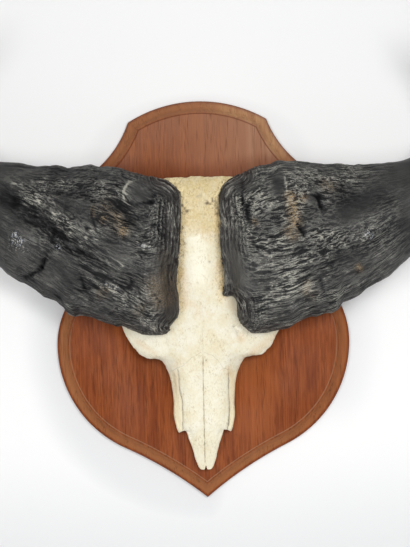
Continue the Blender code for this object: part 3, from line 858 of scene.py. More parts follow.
class Effects:
    """The shared effects, each a node group made once: mottling, threads, pits and seams."""

    def __init__(self) -> None:
        """Build every group."""
        self.mottle = self.make_mottle()
        self.threads = self.make_threads()
        self.pits = self.make_pits()
        self.seam = self.make_seam()

    @staticmethod
    def make_mottle() -> bpy.types.NodeTree:
        """Cloudy variation: broad noise bent by itself, with a finer one over it."""
        graph, (vector, scale), end = new_group("mottling", ("Scale",), ("Value",))
        broad = graph.noise(vector, scale, 3, 0.5, 0.6)
        fine = graph.noise(vector, graph.times(scale, 6.5), 4, 0.6)
        total = graph.plus(graph.times(broad, 0.7), graph.times(fine, 0.3))
        graph.feed(end.inputs["Value"], graph.span(total, 0.34, 0.66))
        return graph.tree

    @staticmethod
    def make_threads() -> bpy.types.NodeTree:
        """Thin lines along the first axis, where stretched noise crosses its middle."""
        graph, (vector, scale), end = new_group("threads", ("Scale",), ("Thread", "Height"))
        line = graph.noise(vector, scale, 4, 0.6, 0.3)
        off = graph.math("ABSOLUTE", graph.less(line, 0.5))
        graph.feed(end.inputs["Thread"], graph.less(1.0, graph.times(off, 12.0), clamp=True))
        graph.feed(end.inputs["Height"], line)
        return graph.tree

    @staticmethod
    def make_pits() -> bpy.types.NodeTree:
        """Small round or drawn-out pits, scattered and of uneven strength."""
        graph, (vector, scale, size), end = new_group("pits", ("Scale", "Size"), ("Mask",))
        distance = graph.cells(vector, scale)
        depth = graph.less(1.0, graph.math("DIVIDE", distance, size), clamp=True)
        patchy = graph.noise(vector, graph.times(scale, 0.21), 2)
        graph.feed(end.inputs["Mask"], graph.times(depth, graph.span(patchy, 0.45, 0.62)))
        return graph.tree

    @staticmethod
    def make_seam() -> bpy.types.NodeTree:
        """A thin line where a distance crosses zero, with an uneven width."""
        graph, (vector, distance, width), end = new_group("seam", ("Distance", "Width"), ("Mask",))
        wander = graph.less(graph.noise(vector, 420, 3), 0.5)
        offset = graph.plus(distance, graph.times(wander, 1.6))
        uneven = graph.span(graph.noise(vector, 90, 2), 0.35, 0.6, 0.45, 1.0)
        share = graph.math("DIVIDE", graph.math("ABSOLUTE", offset), graph.times(width, uneven))
        graph.feed(end.inputs["Mask"], graph.span(share, 0.5, 1.0, 1.0, 0.0))
        return graph.tree


class Finish:
    """Base of the finishes: starts a material with a Principled shader."""

    name = "finish"

    def start(self) -> tuple[bpy.types.Material, Graph, bpy.types.Node, Socket]:
        """Make the material.

        Returns:
            The material, a graph on its tree, its shader and the object coordinates.
        """
        made = bpy.data.materials.new(self.name)
        made.use_nodes = True
        graph = Graph(made.node_tree)
        place_node = graph.node("TexCoord")
        return made, graph, made.node_tree.nodes["Principled BSDF"], place_node.outputs["Object"]


@dataclass(frozen=True)
class StainedWood(Finish):
    """Reddish-brown open-pored hardwood under a thin satin finish, its grain upright."""

    name: str = "stained wood"
    deep: Row = linear(100, 42, 14)
    body: Row = linear(140, 71, 34)
    bright: Row = linear(163, 90, 44)
    # Colour of the painted sheen on the upper board
    painted_sheen: Row = linear(162, 117, 90)
    edge: Row = linear(160, 108, 70)
    # Colour of the painted highlight on the fillet
    painted_fillet_highlight: Row = linear(176, 136, 106)
    # Colour of the stronger painted sheen at the upper right
    chalky: Row = linear(188, 150, 122)
    # Colour of the painted highlight on the rim at the upper right
    painted_highlight_ochre: Row = linear(190, 148, 104)
    pore: Row = linear(58, 26, 14)
    roughness: tuple[float, float] = (0.46, 0.64)

    def make(self, effects: Effects) -> bpy.types.Material:
        """Build the material.

        Args:
            effects: The shared effects.

        Returns:
            The material.
        """
        made, graph, shader, where = self.start()
        grain = graph.stretched(where, (1.0, 1.0, 0.045))
        ribbon = graph.noise(graph.stretched(where, (1.0, 1.0, 0.06)), 78, 4, 0.62, 0.7)
        fibre = graph.noise(grain, 400, 4, 0.75)
        figure = graph.noise(graph.stretched(where, (1.0, 1.0, 0.28)), 17, 3, 0.5, 1.4)
        pores = graph.group(effects.pits, Vector=graph.stretched(where, (1, 1, 0.055)), Scale=700, Size=0.55)
        colour = graph.mix(graph.span(ribbon, 0.36, 0.64), self.deep, self.bright)
        colour = graph.mix(0.60, colour, self.body)
        colour = graph.mix(graph.span(fibre, 0.44, 0.64, 0.0, 0.68), colour, self.deep)
        colour = graph.mix(graph.span(figure, 0.42, 0.7, 0.0, 0.30), colour, self.bright)
        side, _, up = graph.axes(where)
        # Painted sheen: the upper board is paled, more to the right, where it would reflect the lamps
        painted_sheen_share = graph.times(graph.span(up, 0.05, 0.30, 0.0, 0.55), graph.span(side, -0.10, 0.10, 0.70, 1.4))
        colour = graph.mix(painted_sheen_share, colour, self.painted_sheen)
        streaked = graph.span(ribbon, 0.40, 0.60, 0.35, 1.0)
        # Painted sheen: paler still at the upper right, where the right lamp would be reflected
        chalk = graph.times(graph.span(side, 0.03, 0.12, 0.0, 0.42), graph.span(up, 0.18, 0.25))
        colour = graph.mix(graph.times(chalk, streaked), colour, self.chalky)
        # Painted light: the wood right of the nose is lightened where the skull's shadow falls on it
        off_nose = graph.math("ABSOLUTE", graph.less(side, 0.084))
        beside_nose = graph.band(up, (-0.27, -0.20), (-0.07, -0.03))
        painted_light_by_nose = graph.times(graph.span(off_nose, 0.015, 0.045, 0.45, 0.0), beside_nose)
        colour = graph.mix(painted_light_by_nose, colour, self.bright)
        # Painted shade: the board is darkened in a band just above the skull and horns
        above = graph.less(up, graph.times(graph.math("ABSOLUTE", side), 0.12))
        painted_shade_above_skull = graph.times(graph.span(above, 0.204, 0.234, 0.42, 0.0), graph.span(up, 0.17, 0.20))
        colour = graph.mix(painted_shade_above_skull, colour, self.deep)
        inset = graph.marked("inset")
        rim = graph.band(inset, (3, 6), (17, 21))
        worn = graph.plus(graph.span(side, -0.22, -0.16, 0.67, 0.42), graph.span(up, -0.26, -0.18, 0.2, 0.0))
        colour = graph.mix(graph.times(rim, worn), colour, self.edge)
        # Painted highlight: the rim is paled to a yellow-brown along the upper right, in streaks
        golden = graph.times(graph.span(side, 0.0, 0.07, 0.0, 0.6), graph.span(up, 0.20, 0.26))
        golden = graph.times(golden, rim, streaked)
        colour = graph.mix(golden, colour, self.painted_highlight_ochre)
        # Painted shade: a dark line in the groove at the step to the field, stronger low on the board
        groove = graph.band(inset, (19.8, 21.4), (22, 23.5))
        low = graph.span(up, -0.10, 0.06, 1.0, 0.0)
        colour = graph.mix(graph.times(groove, graph.span(low, 0, 1, 0.55, 0.25)), colour, self.deep)
        # Painted highlight: a pale line along the fillet at the step, low on the board
        step = graph.band(inset, (20, 21.6), (22.2, 23.4))
        colour = graph.mix(graph.times(step, graph.times(low, 0.55)), colour, self.painted_fillet_highlight)
        # Painted shade at the foot of the edge, where the board meets the wall
        foot = graph.span(inset, 0.6, 3.2, 0.55, 0.0)
        colour = graph.mix(foot, colour, self.deep)
        open_pores = graph.times(pores.outputs[0], graph.span(up, 0.10, 0.24, 0.75, 0.58))
        colour = graph.mix(open_pores, colour, self.pore)
        graph.feed(shader.inputs["Base Color"], colour)
        sheen = graph.span(graph.noise(where, 9, 3), 0.35, 0.65, *self.roughness)
        graph.feed(shader.inputs["Roughness"], sheen)
        relief = graph.less(graph.times(fibre, 0.35), pores.outputs[0])
        graph.feed(shader.inputs["Normal"], graph.bump(relief, 0.0003, 0.6))
        shader.inputs["Specular IOR Level"].default_value = 0.12
        return made


@dataclass(frozen=True)
class BleachedBone(Finish):
    """Dry bleached bone: chalky and white on the face, tan and rough by the horns and crest."""

    name: str = "bleached bone"
    bleached: Row = linear(255, 251, 230)
    white: Row = linear(241, 236, 217)
    cream: Row = linear(234, 224, 192)
    tan: Row = linear(218, 197, 145)
    # Colour of the flanks: their own yellowish tone, made lighter to lift their shade: painted light
    flank: Row = linear(252, 241, 206)
    seam: Row = linear(140, 124, 96)
    dark: Row = linear(84, 66, 44)
    rust: Row = linear(216, 172, 112)
    # Colour of the tan band by the horns, lighter than its own tone to lift the horns' shade there: painted
    # light
    crust_and_painted_light: Row = linear(240, 220, 168)
    speck: Row = linear(178, 156, 112)
    fleck: Row = linear(132, 106, 66)

    def make(self, effects: Effects) -> bpy.types.Material:
        """Build the material.

        Args:
            effects: The shared effects.

        Returns:
            The material.
        """
        made, graph, shader, where = self.start()
        clouds = graph.group(effects.mottle, Vector=where, Scale=17).outputs[0]
        fine_clouds = graph.group(effects.mottle, Vector=where, Scale=70).outputs[0]
        up = graph.axes(where)[2]
        crust_and_painted_light, flank = graph.marked("crust_and_painted_light"), graph.marked("flank")
        colour = graph.mix(graph.times(clouds, 0.75), self.white, self.cream)
        colour = graph.mix(graph.span(fine_clouds, 0.3, 1.0, 0.0, 0.25), colour, self.tan)
        # Whiter places: partly paler bone, partly painted light that lifts shaded places such as the wings
        colour = graph.mix(graph.marked("bleach"), colour, self.bleached)
        ragged = graph.times(graph.plus(clouds, fine_clouds), 0.013)
        crest = graph.span(graph.plus(up, ragged), 0.108, 0.130)
        crest_share = graph.times(crest, graph.span(fine_clouds, 0.0, 1.0, 1.0, 0.6))
        colour = graph.mix(crest_share, colour, self.tan)
        streaks = graph.noise(graph.stretched(where, (1, 1, 0.16)), 260, 4, 0.65)
        streak_share = graph.times(graph.span(streaks, 0.5, 0.72), graph.plus(0.22, crest))
        colour = graph.mix(graph.times(streak_share, 0.6), colour, self.tan)
        # Flanks: yellowish bone, lightened to lift the shade on the sides of the nose: painted light
        colour = graph.mix(graph.times(flank, 0.9), colour, self.flank)
        # Tan band by the horns, partly painted light that lifts the shade the horns cast on the bone
        rim = graph.times(crust_and_painted_light, graph.span(fine_clouds, 0.1, 0.8, 0.45, 1.0))
        colour = graph.mix(rim, colour, self.crust_and_painted_light)
        colour = graph.mix(graph.times(graph.marked("rust"), 0.6), colour, self.rust)
        specks = graph.noise(graph.stretched(where, (1, 1, 0.6)), 360, 3, 0.8)
        speckled = graph.plus(graph.times(crust_and_painted_light, 0.5), graph.times(crest, 0.14))
        patchy = graph.span(graph.noise(where, 48, 2), 0.42, 0.66, 0.12, 0.52)
        speckled = graph.plus(speckled, patchy)
        dark_specks = graph.times(graph.span(specks, 0.49, 0.68), speckled)
        colour = graph.mix(dark_specks, colour, self.speck)
        light_specks = graph.times(graph.span(specks, 0.34, 0.49, 1.0, 0.0), 0.22)
        colour = graph.mix(light_specks, colour, self.bleached)
        crest_edge = graph.times(graph.less(1.0, crest), crest)
        flaking = graph.plus(graph.times(crust_and_painted_light, 0.9), graph.times(crest, 0.22))
        flaking = graph.plus(flaking, graph.times(crest_edge, 1.8))
        clumps = graph.span(graph.noise(where, 85, 3), 0.44, 0.60)
        flecks = graph.span(graph.noise(graph.stretched(where, (1, 1, 0.7)), 310, 4, 0.8), 0.52, 0.64)
        fleck_share = graph.times(flecks, clumps, flaking, clamp=True)
        colour = graph.mix(fleck_share, colour, self.fleck)

        cracks = graph.cells(graph.stretched(where, (1.0, 1.0, 0.32)), 60, "DISTANCE_TO_EDGE")
        hairline = graph.span(cracks, 0.0, 0.035, 1.0, 0.0)
        hairline = graph.times(hairline, graph.span(graph.noise(where, 22, 2), 0.52, 0.7))
        colour = graph.mix(graph.times(hairline, 0.18), colour, self.seam)
        pores = graph.group(effects.pits, Vector=graph.stretched(where, (1, 1, 0.45)), Scale=520, Size=0.5)
        pore_share = graph.times(pores.outputs[0], graph.plus(0.10, crust_and_painted_light))
        colour = graph.mix(graph.times(pore_share, 0.55), colour, self.dark)

        lines = []
        for name, width in (("midline_seam", 0.95), ("nasal_seam", 0.62), ("flank_seam", 0.8)):
            seam = graph.group(effects.seam, Distance=graph.marked(name), Width=width, Vector=where)
            lines.append(seam.outputs[0])
        seams = graph.times(graph.highest(*lines), graph.marked("seam_strength"))
        colour = graph.mix(graph.times(seams, 0.8), colour, self.seam)
        marks = graph.times(graph.marked("marks"), graph.span(fine_clouds, 0.1, 0.7, 0.45, 1.0))
        colour = graph.mix(graph.math("MINIMUM", marks, 0.85), colour, self.dark)
        graph.feed(shader.inputs["Base Color"], colour)
        graph.feed(shader.inputs["Roughness"], graph.span(clouds, 0.0, 1.0, 0.52, 0.72))

        grain = graph.noise(graph.stretched(where, (1.0, 1.0, 0.35)), 380, 5, 0.65)
        lumps = graph.noise(where, 130, 4, 0.6)
        rough = graph.times(lumps, graph.plus(0.35, graph.times(crust_and_painted_light, 2.2)))
        relief = graph.plus(graph.times(grain, 0.6), rough)
        relief = graph.less(relief, graph.times(seams, 0.9))
        relief = graph.less(relief, graph.times(pore_share, 0.8))
        graph.feed(shader.inputs["Normal"], graph.bump(relief, 0.0007, 0.7))
        shader.inputs["Specular IOR Level"].default_value = 0.35
        return made


@dataclass(frozen=True)
class DarkHorn(Finish):
    """Weathered black horn: pale worn fibres on its ridges, dark clefts, a few glossy spots with painted
    highlights.
    """

    name: str = "dark horn"
    tones: tuple[tuple[float, Row], ...] = (
        (0.0, linear(4, 4, 5)), (0.22, linear(31, 31, 32)), (0.42, linear(63, 63, 62)),
        (0.66, linear(103, 102, 98)), (1.0, linear(175, 173, 161)),
    )
    tan: Row = linear(156, 132, 97)
    brown: Row = linear(66, 56, 53)
    tip: Row = linear(24, 24, 24)
    # Colour of the painted highlights on the wet places
    glint: Row = linear(206, 211, 222)

    def make(self, effects: Effects) -> bpy.types.Material:
        """Build the material.

        Args:
            effects: The shared effects.

        Returns:
            The material.
        """
        made, graph, shader, where = self.start()
        fibre, rough = graph.marked("fibre", vector=True), graph.marked("rough")
        tone, tan, wet = graph.marked("tone"), graph.marked("tan"), graph.marked("wet")
        ribbed, twisted, tipward = graph.marked("ribbed"), graph.marked("twisted"), graph.marked("tipward")

        slanted, beside = graph.marked("slanted_fibre", vector=True), graph.marked("rib_fibre", vector=True)
        along = graph.group(effects.threads, Vector=graph.stretched(fibre, (0.13, 1, 1)), Scale=215)
        ribs = graph.group(effects.threads, Vector=graph.stretched(beside, (1, 0.13, 0.13)), Scale=215)
        turned = graph.group(effects.threads, Vector=graph.stretched(slanted, (0.13, 1, 1)), Scale=215)
        thread = graph.blend(ribbed, along.outputs["Thread"], ribs.outputs["Thread"])
        thread = graph.blend(twisted, thread, turned.outputs["Thread"])
        height = graph.blend(ribbed, along.outputs["Height"], ribs.outputs["Height"])
        height = graph.blend(twisted, height, turned.outputs["Height"])
        grit = graph.noise(where, 620, 3, 0.7)

        fine = graph.times(graph.less(thread, 0.28), 0.62)
        fine = graph.plus(fine, graph.times(graph.less(grit, 0.5), 1.0))
        scale = graph.span(tone, 0.05, 0.6, 0.35, 1.25)
        fine = graph.times(fine, graph.marked("grainy"), scale)
        total = graph.plus(tone, fine)
        # Painted highlight: the tone is raised in specks on the wet places
        glint = graph.times(wet, graph.span(graph.noise(where, 330, 3, 0.7), 0.54, 0.64, -0.05, 0.7))
        total = graph.plus(total, glint)
        colour = graph.gradient(total, self.tones)
        colour = graph.mix(graph.times(ribbed, 0.22), colour, self.brown)
        crackle = graph.span(graph.cells(where, 330, "DISTANCE_TO_EDGE"), 0.04, 0.20, 0.1, 1.0)
        tan_share = graph.times(tan, graph.times(crackle, graph.span(total, 0.15, 0.5)))
        colour = graph.mix(graph.times(tan_share, 0.78, clamp=True), colour, self.tan)
        colour = graph.mix(graph.times(tipward, 0.8), colour, self.tip)
        # Painted highlight: bluish-white specks on the wet places
        painted_glint_share = graph.span(wet, 0.45, 0.95)
        painted_glint_share = graph.times(painted_glint_share, graph.span(graph.noise(where, 250, 4, 0.7), 0.53, 0.61))
        colour = graph.mix(graph.times(painted_glint_share, 0.75), colour, self.glint)
        graph.feed(shader.inputs["Base Color"], colour)

        roughness = graph.less(0.58, graph.times(wet, 0.44))
        roughness = graph.less(roughness, graph.times(tipward, 0.2))
        polish = graph.times(graph.less(1.0, rough), 0.12)
        roughness = graph.less(roughness, polish)
        graph.feed(shader.inputs["Roughness"], graph.highest(roughness, 0.12))
        graph.feed(shader.inputs["Coat Weight"], wet)
        shader.inputs["Coat Roughness"].default_value = 0.16
        shader.inputs["Specular IOR Level"].default_value = 0.10

        relief = graph.plus(graph.times(height, 1.3), graph.times(grit, 0.5))
        relief = graph.times(relief, graph.plus(0.06, rough))
        graph.feed(shader.inputs["Normal"], graph.bump(relief, 0.0016, 0.9))
        return made


@dataclass(frozen=True)
class ZincSteel(Finish):
    """Zinc-plated pressed steel with faint clouding and drawing lines."""

    name: str = "zinc steel"
    bright: Row = linear(196, 197, 194)
    dull: Row = linear(150, 150, 144)

    def make(self, effects: Effects) -> bpy.types.Material:
        """Build the material.

        Args:
            effects: The shared effects.

        Returns:
            The material.
        """
        made, graph, shader, where = self.start()
        clouds = graph.group(effects.mottle, Vector=where, Scale=180.0).outputs[0]
        drawn = graph.noise(graph.stretched(where, (1, 1, 0.05)), 2600, 3)
        graph.feed(shader.inputs["Base Color"], graph.mix(clouds, self.bright, self.dull))
        graph.feed(shader.inputs["Roughness"], graph.span(clouds, 0.0, 1.0, 0.26, 0.44))
        graph.feed(shader.inputs["Normal"], graph.bump(drawn, 0.00005, 0.5))
        shader.inputs["Metallic"].default_value = 1.0
        return made


def offset_line(points: Array, distance: float) -> Array:
    """Move an open line to its right by a distance, each point along the mitre of its two runs.

    Args:
        points: x and z of the line's points.
        distance: How far.

    Returns:
        The moved points.
    """
    ahead = np.diff(points, axis=0)
    normal = np.stack([ahead[:, 1], -ahead[:, 0]], axis=1)
    normal /= np.linalg.norm(normal, axis=1, keepdims=True)
    before, after = np.concatenate([normal[:1], normal]), np.concatenate([normal, normal[-1:]])
    mitre = (before + after) / (1 + np.sum(before * after, axis=1, keepdims=True))
    return points + distance * mitre


def crossing(first: Array, second: Array, near: Array) -> tuple[float, float]:
    """Where two lines cross, closest to a point: each pair of runs is solved as two equations.

    Args:
        first: Points of one line.
        second: Points of the other.
        near: The point that picks among crossings.

    Returns:
        How many runs along the first line, and along the second.
    """
    a, run = first[:-1, None], np.diff(first, axis=0)[:, None]
    other, other_run = second[None, :-1], np.diff(second, axis=0)[None]
    cross = run[..., 0] * other_run[..., 1] - run[..., 1] * other_run[..., 0]
    cross = np.where(np.abs(cross) < 1e-12, 1e-12, cross)
    gap = other - a
    t = (gap[..., 0] * other_run[..., 1] - gap[..., 1] * other_run[..., 0]) / cross
    u = (gap[..., 0] * run[..., 1] - gap[..., 1] * run[..., 0]) / cross
    distance = np.linalg.norm(a + t[..., None] * run - near, axis=-1)
    slack = 1e-6
    distance[(t < -slack) | (t > 1 + slack) | (u < -slack) | (u > 1 + slack)] = np.inf
    i, j = np.unravel_index(np.argmin(distance), distance.shape)
    return i + t[i, j], j + u[i, j]


def stretch_of(points: Array, start: float, end: float, count: int) -> Array:
    """Evenly spaced points on part of a line.

    Args:
        points: The line's points.
        start: How many runs along it the part starts.
        end: How many runs along it the part ends.
        count: How many points, the first at the start and one more run short of the end.

    Returns:
        The points.
    """
    runs = np.arange(len(points))
    length = np.concatenate([[0], np.cumsum(np.linalg.norm(np.diff(points, axis=0), axis=1))])
    limits = np.interp([start, end], runs, length)
    wanted = np.linspace(*limits, count + 1)[:-1]
    return np.stack([np.interp(wanted, length, points[:, k]) for k in (0, 1)], axis=1)


@dataclass
class Board:
    """The carved wall board: a shield of arcs, drawn in over a moulded edge with mitred corners."""

    half_height: float = 329.0
    arch_radius: float = 222.0
    arch_half_width: float = 115.0
    shoulder_radius: float = 175.0
    shoulder_headings: tuple[float, float] = (20.0, 67.0)
    scoop_depth: float = 25.0
    belly_half_width: float = 242.5
    belly_z: float = -72.0
    upper_belly: tuple[float, float] = (140.0, 51.0)
    lower_belly: tuple[float, float] = (190.0, -64.0)
    tip_bow: float = 5.0
    run_on: float = 60.0
    points_per_side: tuple[int, ...] = (44, 46, 52, 156)

    @staticmethod
    def arc(centre: tuple[float, float], radius: float, start: float, end: float, steps: int) -> Array:
        """Points of an arc between two angles in degrees, at the ends of its even steps."""
        turn = np.radians(np.linspace(start, end, steps + 1))
        return np.asarray(centre) + radius * np.stack([np.cos(turn), np.sin(turn)], axis=1)

    @staticmethod
    def bow(start: Array, end: Array, rise: float, steps: int) -> Array:
        """Points of a parabola that stands off its chord: 4 x rise x t x (1 - t) to the left.

        Args:
            start: First point.
            end: Last point.
            rise: Its height over the chord.
            steps: How many runs.

        Returns:
            The points.
        """
        t = np.linspace(0, 1, steps + 1)[:, None]
        chord = end - start
        left = np.array([-chord[1], chord[0]]) / np.hypot(*chord)
        return start + t * chord + 4 * rise * t * (1 - t) * left

    def sides(self) -> list[Array]:
        """The right half's four sides, from the top of the arch down to the tip."""
        arch_centre = (0.0, self.half_height - self.arch_radius)
        corner_angle = math.degrees(math.acos(self.arch_half_width / self.arch_radius))
        arch = self.arc(arch_centre, self.arch_radius, 90, corner_angle, 40)
        first, last = self.shoulder_headings
        heading = np.array([math.cos(math.radians(first)), math.sin(math.radians(first))])
        centre = arch[-1] + self.shoulder_radius * heading
        shoulder = self.arc(centre, self.shoulder_radius, 180 + first, 180 + last, 40)
        radius, angle = self.upper_belly
        upper = self.arc((self.belly_half_width - radius, self.belly_z), radius, angle, 0, 40)
        scoop = self.bow(shoulder[-1], upper[0], -self.scoop_depth, 40)
        radius, angle = self.lower_belly
        lower = self.arc((self.belly_half_width - radius, self.belly_z), radius, 0, angle, 60)
        point = self.bow(lower[-1], np.array([0.0, -self.half_height]), -self.tip_bow, 40)
        return [arch, shoulder, scoop, np.concatenate([upper, lower[1:], point[1:]])]

    def ring(self, distance: float) -> Array:
        """The whole outline moved in: each side is run on, offset, then cut where it meets the next.

        Args:
            distance: How far in.

        Returns:
            x and z of the ring's points, clockwise from the top.
        """
        sides = self.sides()
        corners = [side[0] for side in sides] + [sides[-1][-1]]
        moved = []
        for side in sides:
            first, last = side[0] - side[1], side[-1] - side[-2]
            head = side[0] + self.run_on * first / np.linalg.norm(first)
            tail = side[-1] + self.run_on * last / np.linalg.norm(last)
            moved.append(offset_line(np.concatenate([[head], side, [tail]]), distance))
        high = self.half_height + self.run_on
        moved = [np.array([[0, high], [0, 0.0]]), *moved, np.array([[0, 0.0], [0, -high]])]
        meets = [crossing(moved[k], moved[k + 1], corners[k]) for k in range(len(corners))]
        right = [stretch_of(moved[k + 1], meets[k][1], meets[k + 1][0], count)
                 for k, count in enumerate(self.points_per_side)]
        run, share = divmod(meets[-1][1], 1)
        tip = moved[-1][int(run)] + share * (moved[-1][int(run) + 1] - moved[-1][int(run)])
        half = np.concatenate([*right, [tip]])
        half[0, 0] = 0.0
        return np.concatenate([half, half[-2:0:-1] * (-1, 1)])

    def profile(self) -> Array:
        """Distance in and depth of every ring: the foot, a smooth curve and the step to the field."""
        curve = np.array(EDGE_CURVE)
        along = np.arange(len(curve), dtype=float)
        smooth = hermite(curve, along, np.linspace(0, along[-1], 3 * len(curve) - 2))
        return np.concatenate([EDGE_FOOT, smooth, EDGE_STEP])

    def build(self, finish: bpy.types.Material) -> bpy.types.Object:
        """Make the board, with the recess and the screw holes in its back.

        Args:
            finish: Its material.

        Returns:
            The piece.
        """
        profile = self.profile()
        rings = [self.ring(inward) for inward, _ in profile]
        count = len(rings[0])
        points = np.concatenate([place(r[:, 0], r[:, 1], depth) for r, (_, depth) in zip(rings, profile)])
        piece = tube("board", points, len(rings), 40)
        self.sharpen_mitres(piece.data, count)
        paint(piece, inset=np.repeat(profile[:, 0], count))

        width, height = PLATE_SIZE
        recess = rounded_loop(width + 2 * GAP, height + 2 * GAP, PLATE_Z)
        pocket = rounded_loop(HEAD_POCKET[0], HEAD_POCKET[1], PLATE_Z)
        cutters = [prism("recess", recess, CUT_FROM, PLATE_THICKNESS + GAP),
                   prism("pocket", pocket, CUT_FROM, HEAD_POCKET[2])]
        for side in (-1, 1):
            cutters.append(screw_hole("plate_hole", 0.0, PLATE_Z + side * PLATE_SCREW_SPAN, PLATE_SCREW))
        for x, z in SKULL_SCREW_PLACES:
            cutters.append(screw_hole("skull_hole", x, z, SKULL_SCREW))
        cut_away(piece, cutters)
        self.mark_field(piece.data, profile[-1, 0])
        piece.data.materials.clear()
        piece.data.materials.append(finish)
        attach(piece, "root")
        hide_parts("shield")
        return piece

    @staticmethod
    def mark_field(mesh: bpy.types.Mesh, inset: float) -> None:
        """Give the points that the cuts made in the flat field the field's own distance in.

        Args:
            mesh: The board's mesh.
            inset: The field's distance in.
        """
        places = np.zeros(3 * len(mesh.vertices))
        mesh.vertices.foreach_get("co", places)
        values = np.zeros(len(mesh.vertices))
        layer = mesh.attributes["inset"].data
        layer.foreach_get("value", values)
        in_field = -places[1::3] > (BOARD_THICKNESS - 0.01) * MM
        layer.foreach_set("value", np.where(in_field, np.maximum(values, inset - 1.5), values))

    def sharpen_mitres(self, mesh: bpy.types.Mesh, count: int) -> None:
        """Mark the edges that run down the mitre of every corner as sharp.

        Args:
            mesh: The board's mesh.
            count: Points in a ring.
        """
        starts = np.cumsum(self.points_per_side)
        columns = np.concatenate([starts, count - starts[:-1]])
        ends = np.zeros(2 * len(mesh.edges), dtype=np.int32)
        mesh.edges.foreach_get("vertices", ends)
        ends = ends.reshape(-1, 2)
        same = (ends[:, 0] % count == ends[:, 1] % count) & np.isin(ends[:, 0] % count, columns)
        sharp = mesh.attributes["sharp_edge"]
        marks = np.zeros(len(mesh.edges), dtype=bool)
        sharp.data.foreach_get("value", marks)
        sharp.data.foreach_set("value", marks | same)


